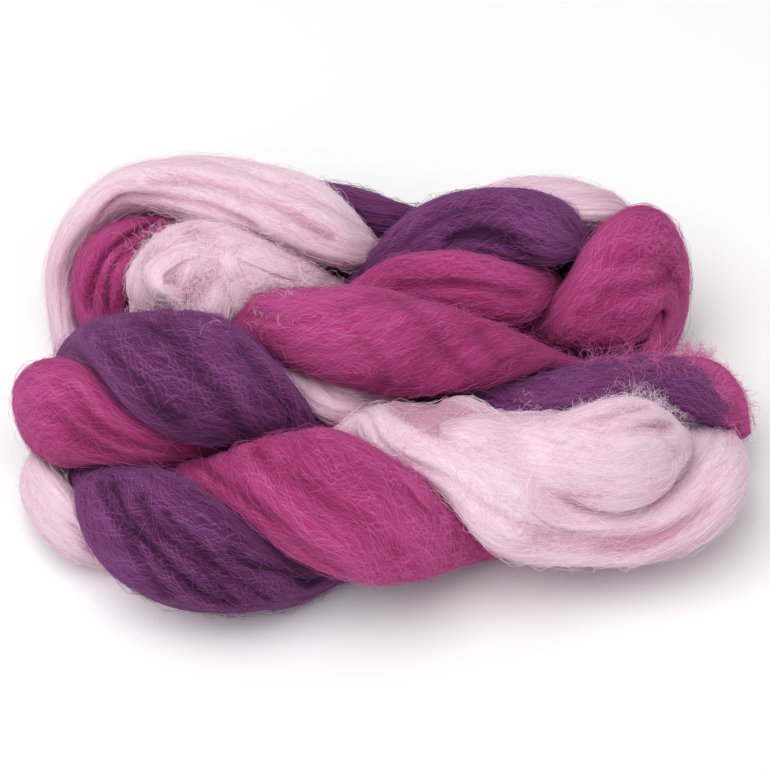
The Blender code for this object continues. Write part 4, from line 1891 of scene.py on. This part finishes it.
@dataclass(frozen=True)
class Studio:
    """The plain pale floor, the soft lights and the camera, in metres.

    Args:
        aim: what the camera looks at.
        distance: how far from that it is.
        elevation: how steeply it looks down, in degrees.
        pixels_per_metre: how large the hank is in the picture.
        frame_pixels: the picture's width.
        sensor: the camera's sensor, in millimetres.
        near: how near the camera sees.
        lamps: the lights.
        room: how bright the room is.
        floor_half: half the floor's width.
        floor_depth: how far under the hank the floor is.
        floor_tone: how pale the floor is.
        floor_roughness: how matt it is.
    """

    aim: tuple[float, float, float] = (0.00035, 0.0, 0.025)
    distance: float = 0.95
    elevation: float = 50.0
    pixels_per_metre: float = 3400.0
    frame_pixels: float = 770.0
    sensor: float = 36
    near: float = 0.05
    lamps: tuple[Lamp, ...] = (
        Lamp("key", (-0.35, -0.25, 1.15), 1.1, 13.0), Lamp("fill", (0.7, -0.7, 0.8), 1.0, 2.0),
    )
    room: float = 0.47
    floor_half: float = 3
    floor_depth: float = 0.0004
    floor_tone: float = 0.9
    floor_roughness: float = 0.9

    def build(self) -> None:
        """Makes the floor, the lights and the camera."""
        self.floor()
        for lamp in self.lamps:
            self.light(lamp)
        world = bpy.data.worlds.new("soft_room")
        bpy.context.scene.world = world
        world.use_nodes = True
        background = world.node_tree.nodes["Background"]
        background.inputs["Color"].default_value = (1, 1, 1, 1)
        background.inputs["Strength"].default_value = self.room
        bpy.context.scene.view_settings.view_transform = "Standard"
        self.camera()

    def floor(self) -> None:
        """Makes the floor, just under the hank."""
        mesh = bpy.data.meshes.new("floor")
        far, low = self.floor_half, -self.floor_depth
        corners = [(-far, -far, low), (far, -far, low), (far, far, low), (-far, far, low)]
        mesh.from_pydata(corners, [], [(0, 1, 2, 3)])
        floor = bpy.data.objects.new("floor", mesh)
        material = bpy.data.materials.new("pale_floor")
        material.use_nodes = True
        surface = material.node_tree.nodes["Principled BSDF"]
        surface.inputs["Base Color"].default_value = (*[self.floor_tone] * 3, 1)
        surface.inputs["Roughness"].default_value = self.floor_roughness
        mesh.materials.append(material)
        bpy.context.scene.collection.objects.link(floor)

    @staticmethod
    def light(lamp: Lamp) -> None:
        """Makes a light that faces the hank.

        Args:
            lamp: the light.
        """
        data = bpy.data.lights.new(lamp.name, "AREA")
        data.size = lamp.size
        data.energy = lamp.power
        holder = bpy.data.objects.new(lamp.name, data)
        holder.location = lamp.place
        holder.rotation_mode = "QUATERNION"
        holder.rotation_quaternion = (-Vector(lamp.place)).to_track_quat("-Z", "Y")
        bpy.context.scene.collection.objects.link(holder)

    def camera(self) -> None:
        """Makes the camera, which looks down at the front row."""
        rise = math.radians(self.elevation)
        back = Vector((0, -math.cos(rise), math.sin(rise)))
        view = bpy.data.cameras.new("camera")
        view.sensor_width = self.sensor
        view.lens = view.sensor_width * self.pixels_per_metre * self.distance / self.frame_pixels
        view.clip_start = self.near
        holder = bpy.data.objects.new("camera", view)
        holder.location = Vector(self.aim) + back * self.distance
        holder.rotation_mode = "QUATERNION"
        holder.rotation_quaternion = (-back).to_track_quat("-Z", "Y")
        bpy.context.scene.collection.objects.link(holder)
        bpy.context.scene.camera = holder


LOCKS = Coat(density=30000, length=0.020, radius=0.00005, lift=0.0002, arch=0.0003, heading=0.5, curl=0.003,
             crimp=0.0002, points=11)
HAIRS = Coat(density=66000, length=0.011, radius=0.00005, lift=0.0004, arch=0.0011, heading=1.9, curl=0.006,
             crimp=0.0003, points=9)

PINK_CREASES = (
    Crease(1.5, 2.4, ((374, 0.48), (388, 0.5), (396, 0.5), (400, 0.53))),
    Crease(1.4, 2.0, ((374, 0.56), (394, 0.56), (400, 0.58), (406, 0.58))),
    Crease(1.5, 1.6, ((42, 0.45), (32, 0.41), (22, 0.39), (12, 0.38))),
    Crease(1.2, 1.4, ((36, 0.51), (28, 0.48), (18, 0.46), (6, 0.46))),
    Crease(1.2, 1.4, ((38, 0.33), (30, 0.32), (20, 0.31))),
    Crease(1.4, 2.0, ((422, 0.38), (438, 0.36), (452, 0.36), (466, 0.34))),
    Crease(2.5, 0.9, ((256, 0.52), (262, 0.46))),
    Crease(1.4, 1.6, ((749, 0.64), (731, 0.6), (713, 0.58), (699, 0.59))),
    Crease(1.4, 1.6, ((769, 0.74), (751, 0.72), (731, 0.69), (717, 0.69))),
    Crease(2.2, 1.5, ((885, 0.73), (885, 0.57), (883, 0.54), (879, 0.56))),
    Crease(1.9, 1.3, ((891, 0.65), (893, 0.54), (899, 0.5), (911, 0.49), (921, 0.49))),
    Crease(1.9, 1.4, ((881, 0.51), (885, 0.48), (893, 0.46), (895, 0.39))),
    Crease(1.5, 1.3, ((899, 0.53), (907, 0.54), (915, 0.54))),
)

MAGENTA_HANDS = (
    Hand(0, 0.7, 1, 0), Hand(60, 1, 1, 0), Hand(90, 1.2, 1, 0.6), Hand(140, 1.2, 1, 0.6),
    Hand(170, 0.7, 1, 0), Hand(320, 0.7, 1, 0), Hand(350, 0.8, 1, -0.5), Hand(400, 0.8, 1, -0.5),
    Hand(440, 0.7, 1, 0),
)

MAGENTA_CREASES = (
    Crease(1.5, 1.6, ((346, 0.45), (364, 0.45), (378, 0.42), (388, 0.34))),
    Crease(1.4, 1.6, ((364, 0.57), (380, 0.53), (392, 0.46), (404, 0.39))),
    Crease(3.1, 1.1, ((761, 0.61), (751, 0.66), (739, 0.68), (727, 0.67))),
    Crease(1.7, 1.0, ((763, 0.7), (751, 0.73), (739, 0.75), (729, 0.76))),
    Crease(1.4, 1.5, ((570, 0.43), (566, 0.47), (560, 0.49), (552, 0.51))),
    Crease(1.7, 1.4, ((572, 0.51), (564, 0.54), (544, 0.52))),
    Crease(0.9, 1.6, ((578, 0.51), (572, 0.59), (528, 0.72))),
    Crease(1.5, 1.6, ((879, 0.47), (891, 0.49), (901, 0.5), (909, 0.46))),
    Crease(1.0, 1.9, ((120, 0.51), (110, 0.59), (104, 0.67), (98, 0.76))),
    Crease(0.9, 1.9, ((132, 0.58), (126, 0.67), (120, 0.74), (118, 0.82))),
    Crease(1.0, 1.8, ((96, 0.59), (94, 0.64), (90, 0.71))),
    Crease(1.4, 1.5, ((262, 0.42), (254, 0.46), (244, 0.48), (234, 0.48))),
    Crease(1.4, 1.5, ((264, 0.48), (254, 0.53), (244, 0.54))),
)

PURPLE_HANDS = (
    Hand(0, 0.8, 1, 0), Hand(150, 0.7, 1, 0.2), Hand(200, 0.7, 1, 0.1), Hand(280, 1.1, 1, 0),
    Hand(370, 1.1, 1, 0), Hand(420, 0.8, 1, 0), Hand(760, 1.3, 1, 0),
)

PURPLE_CREASES = (
    Crease(1.7, 0.8, ((308, 0.5), (314, 0.49), (324, 0.48), (330, 0.44), (336, 0.4))),
    Crease(2.0, 0.8, ((312, 0.53), (320, 0.51), (328, 0.5), (334, 0.48), (342, 0.44), (350, 0.42))),
    Crease(1.7, 0.8, ((322, 0.57), (330, 0.54), (336, 0.52), (342, 0.5), (352, 0.44))),
    Crease(1.6, 0.8, ((330, 0.58), (338, 0.55), (344, 0.52), (352, 0.5), (360, 0.48))),
    Crease(2.2, 1.1, ((346, 0.58), (352, 0.57), (360, 0.6), (372, 0.61))),
    Crease(1.7, 1.6, ((172, 0.39), (164, 0.41), (158, 0.43), (154, 0.46))),
    Crease(1.4, 1.6, ((192, 0.46), (180, 0.48), (170, 0.52), (162, 0.6))),
    Crease(1.4, 1.6, ((198, 0.59), (186, 0.59), (178, 0.62))),
    Crease(3.1, 1.8, ((790, 0.41), (801, 0.42), (809, 0.4), (817, 0.34))),
    Crease(1.5, 1.6, ((774, 0.47), (784, 0.51), (797, 0.51))),
)

PINK_TUFTS = (
    # wisps along the top edge of the front row
    Tuft(((520, 402), (560, 408), (600, 404)), 80, 50, 3.5, 80, lift=0.8, curl=1.6, band=1.2),
    Tuft(((600, 404), (640, 398), (675, 410), (694, 432)), 70, 55, 4.5, 420, lift=0.9, curl=2.2, band=1.6),
    # the edges of the tuft on the back row, then its curls
    Tuft(((138, 286), (158, 299), (190, 304), (225, 318)), -90, 50, 2.6, 120, lift=0.6, curl=1.5, band=1.2),
    Tuft(((232, 300), (250, 300), (290, 296), (335, 288)), -60, 45, 5, 200, lift=0.8, curl=1.5, band=1.5),
    Tuft(((140, 280), (138, 255), (150, 235), (175, 225)), 150, 50, 4, 160, lift=0.8, curl=1.5, band=1.5),
    Tuft(((160, 270), (190, 250), (230, 260), (290, 275)), 0, 90, 9, 1300, lift=1.2, curl=2.6, band=6.5),
    Tuft(((222, 250), (228, 275), (236, 300)), -80, 15, 13, 260, lift=0.9, curl=1.0, band=1.6),
    Tuft(((225, 258), (260, 268), (310, 280)), -12, 12, 15, 260, lift=0.9, curl=1.0, band=2.2),
)

MAGENTA_TUFTS = (
    # the open, frayed end at the right
    Tuft((
        (690, 352), (708, 362), (725, 380), (741, 400), (749, 425),
    ), 10, 80, 6.5, 900, lift=1.8, curl=4.0, band=1.7),
    Tuft(((716, 376), (730, 395), (740, 415), (744, 436)), -20, 90, 7, 800, lift=1.4, curl=4.0, band=1.6),
    # wisps along the top of the purple end, then along the flap of the front row
    Tuft(((570, 367), (610, 360), (650, 356), (690, 356)), 2, 8, 13, 280, lift=1.0, curl=1.2, band=1.0),
    Tuft(((390, 452), (408, 474), (426, 496), (441, 516)), -52, 9, 8, 200, lift=5.6, curl=0.8, band=0.8),
)

PURPLE_TUFTS = (
    Tuft(((500, 385), (560, 372), (640, 368), (700, 385)), 60, 60, 5, 90, lift=0.8, curl=1.4, band=2.0),
)

PINK_LAPS = (
    Lap("pink_lap_front", (
        (430, 433, 2.5, 0.3), (470, 436, 7.2, 0.7), (520, 446, 12, 0.9), (565, 460, 14, 0.9),
        (612, 466, 13, 0.8), (655, 460, 10, 0.6), (688, 445, 5, 0.3),
    ), 31, 16),
    Lap("pink_lap_fold", (
        (551, 444, 1.2, 0.2), (545, 459, 3.8, 1.5), (531, 479, 4.5, 1.9), (531, 501, 4.2, 1.8),
        (556, 517, 4, 1.4), (600, 521, 3.5, 0.9), (650, 513, 2.5, 0.3),
    ), 32, 5),
    Lap("pink_lap_stem", (
        (203, 236, 2, 0.3), (226, 258, 3.5, 1.6), (237, 282, 3.6, 1.6), (240, 300, 2, 0.4),
    ), 35, 3),
    Lap("pink_lap_tip", (
        (214, 240, 2, 0.3), (262, 258, 4.5, 1.6), (296, 272, 3.4, 1.4), (318, 279, 1.2, 0.3),
    ), 36, 3),
    Lap("pink_lap_curl", (
        (220, 246, 2, 0.3), (182, 248, 4, 1.5), (149, 268, 4.5, 2.0), (153, 292, 4.2, 2.0),
        (188, 300, 3, 0.8),
    ), 37, 3),
)

MAGENTA_LAPS = (
    # painted highlight: this lap's colour is painted lighter than the wool around it
    Lap("magenta_lap_side", (
        (388, 452, 2, 1.6), (403, 467, 3.2, 3.8), (421, 488, 3.2, 4.2), (438, 509, 2.7, 4.0),
        (448, 526, 1.5, 2.8),
    ), 33, 2, bright=1.6),
)

PURPLE_LAPS = (
    Lap("purple_lap_end", (
        (645, 384, 4, 0.3), (672, 388, 7, 1.4), (700, 398, 7.6, 2.0), (720, 414, 6, 2.2),
        (731, 434, 2.6, 1.4),
    ), 34, 4),
)

ROVINGS = (
    Roving(
        Skin("pink_roving", PINK_ROUTE, 3, PINK_CREASES),
        Wool("pink_wool", deep=(0.50, 0.25, 0.36), main=(0.71, 0.465, 0.575), light=(0.83, 0.66, 0.74),
             hair=(0.88, 0.76, 0.82), glow=(1.0, 0.85, 0.92)),
        LOCKS, HAIRS, Fringe("pink_fringe", PINK_TUFTS, 21), PINK_LAPS,
    ),
    Roving(
        Skin("magenta_roving", MAGENTA_ROUTE, 5, MAGENTA_CREASES, MAGENTA_HANDS),
        Wool("magenta_wool", deep=(0.17, 0.012, 0.065), main=(0.30, 0.022, 0.118), light=(0.40, 0.045, 0.19),
             hair=(0.62, 0.15, 0.38), glow=(0.9, 0.25, 0.6)),
        LOCKS, HAIRS, Fringe("magenta_fringe", MAGENTA_TUFTS, 22, radius=0.05), MAGENTA_LAPS,
    ),
    Roving(
        Skin("purple_roving", PURPLE_ROUTE, 8, PURPLE_CREASES, PURPLE_HANDS),
        Wool("purple_wool", deep=(0.035, 0.006, 0.03), main=(0.086, 0.013, 0.071), light=(0.15, 0.032, 0.13),
             hair=(0.32, 0.11, 0.31), glow=(0.7, 0.3, 0.7)),
        LOCKS, HAIRS, Fringe("purple_fringe", PURPLE_TUFTS, 23), PURPLE_LAPS,
    ),
)


def sky_of(solids: dict[str, bpy.types.Object]) -> BVHTree:
    """Puts all the solids in one search tree.

    Args:
        solids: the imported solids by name.

    Returns:
        The tree, in millimetres.
    """
    corners, faces = [], []
    for solid in solids.values():
        start = len(corners)
        corners.extend(corners_of(solid))
        faces.extend(tuple(start + i for i in p.vertices) for p in solid.data.polygons)
    return BVHTree.FromPolygons(corners, faces)


def main() -> None:
    """Builds the rovings and the studio."""
    logging.basicConfig(level=logging.INFO, format="%(name)s: %(message)s")
    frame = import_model()
    sky = sky_of(frame["nodes"])
    for roving in ROVINGS:
        roving.build(frame["nodes"], sky)
    Studio().build()
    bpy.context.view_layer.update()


if __name__ == "__main__":
    main()
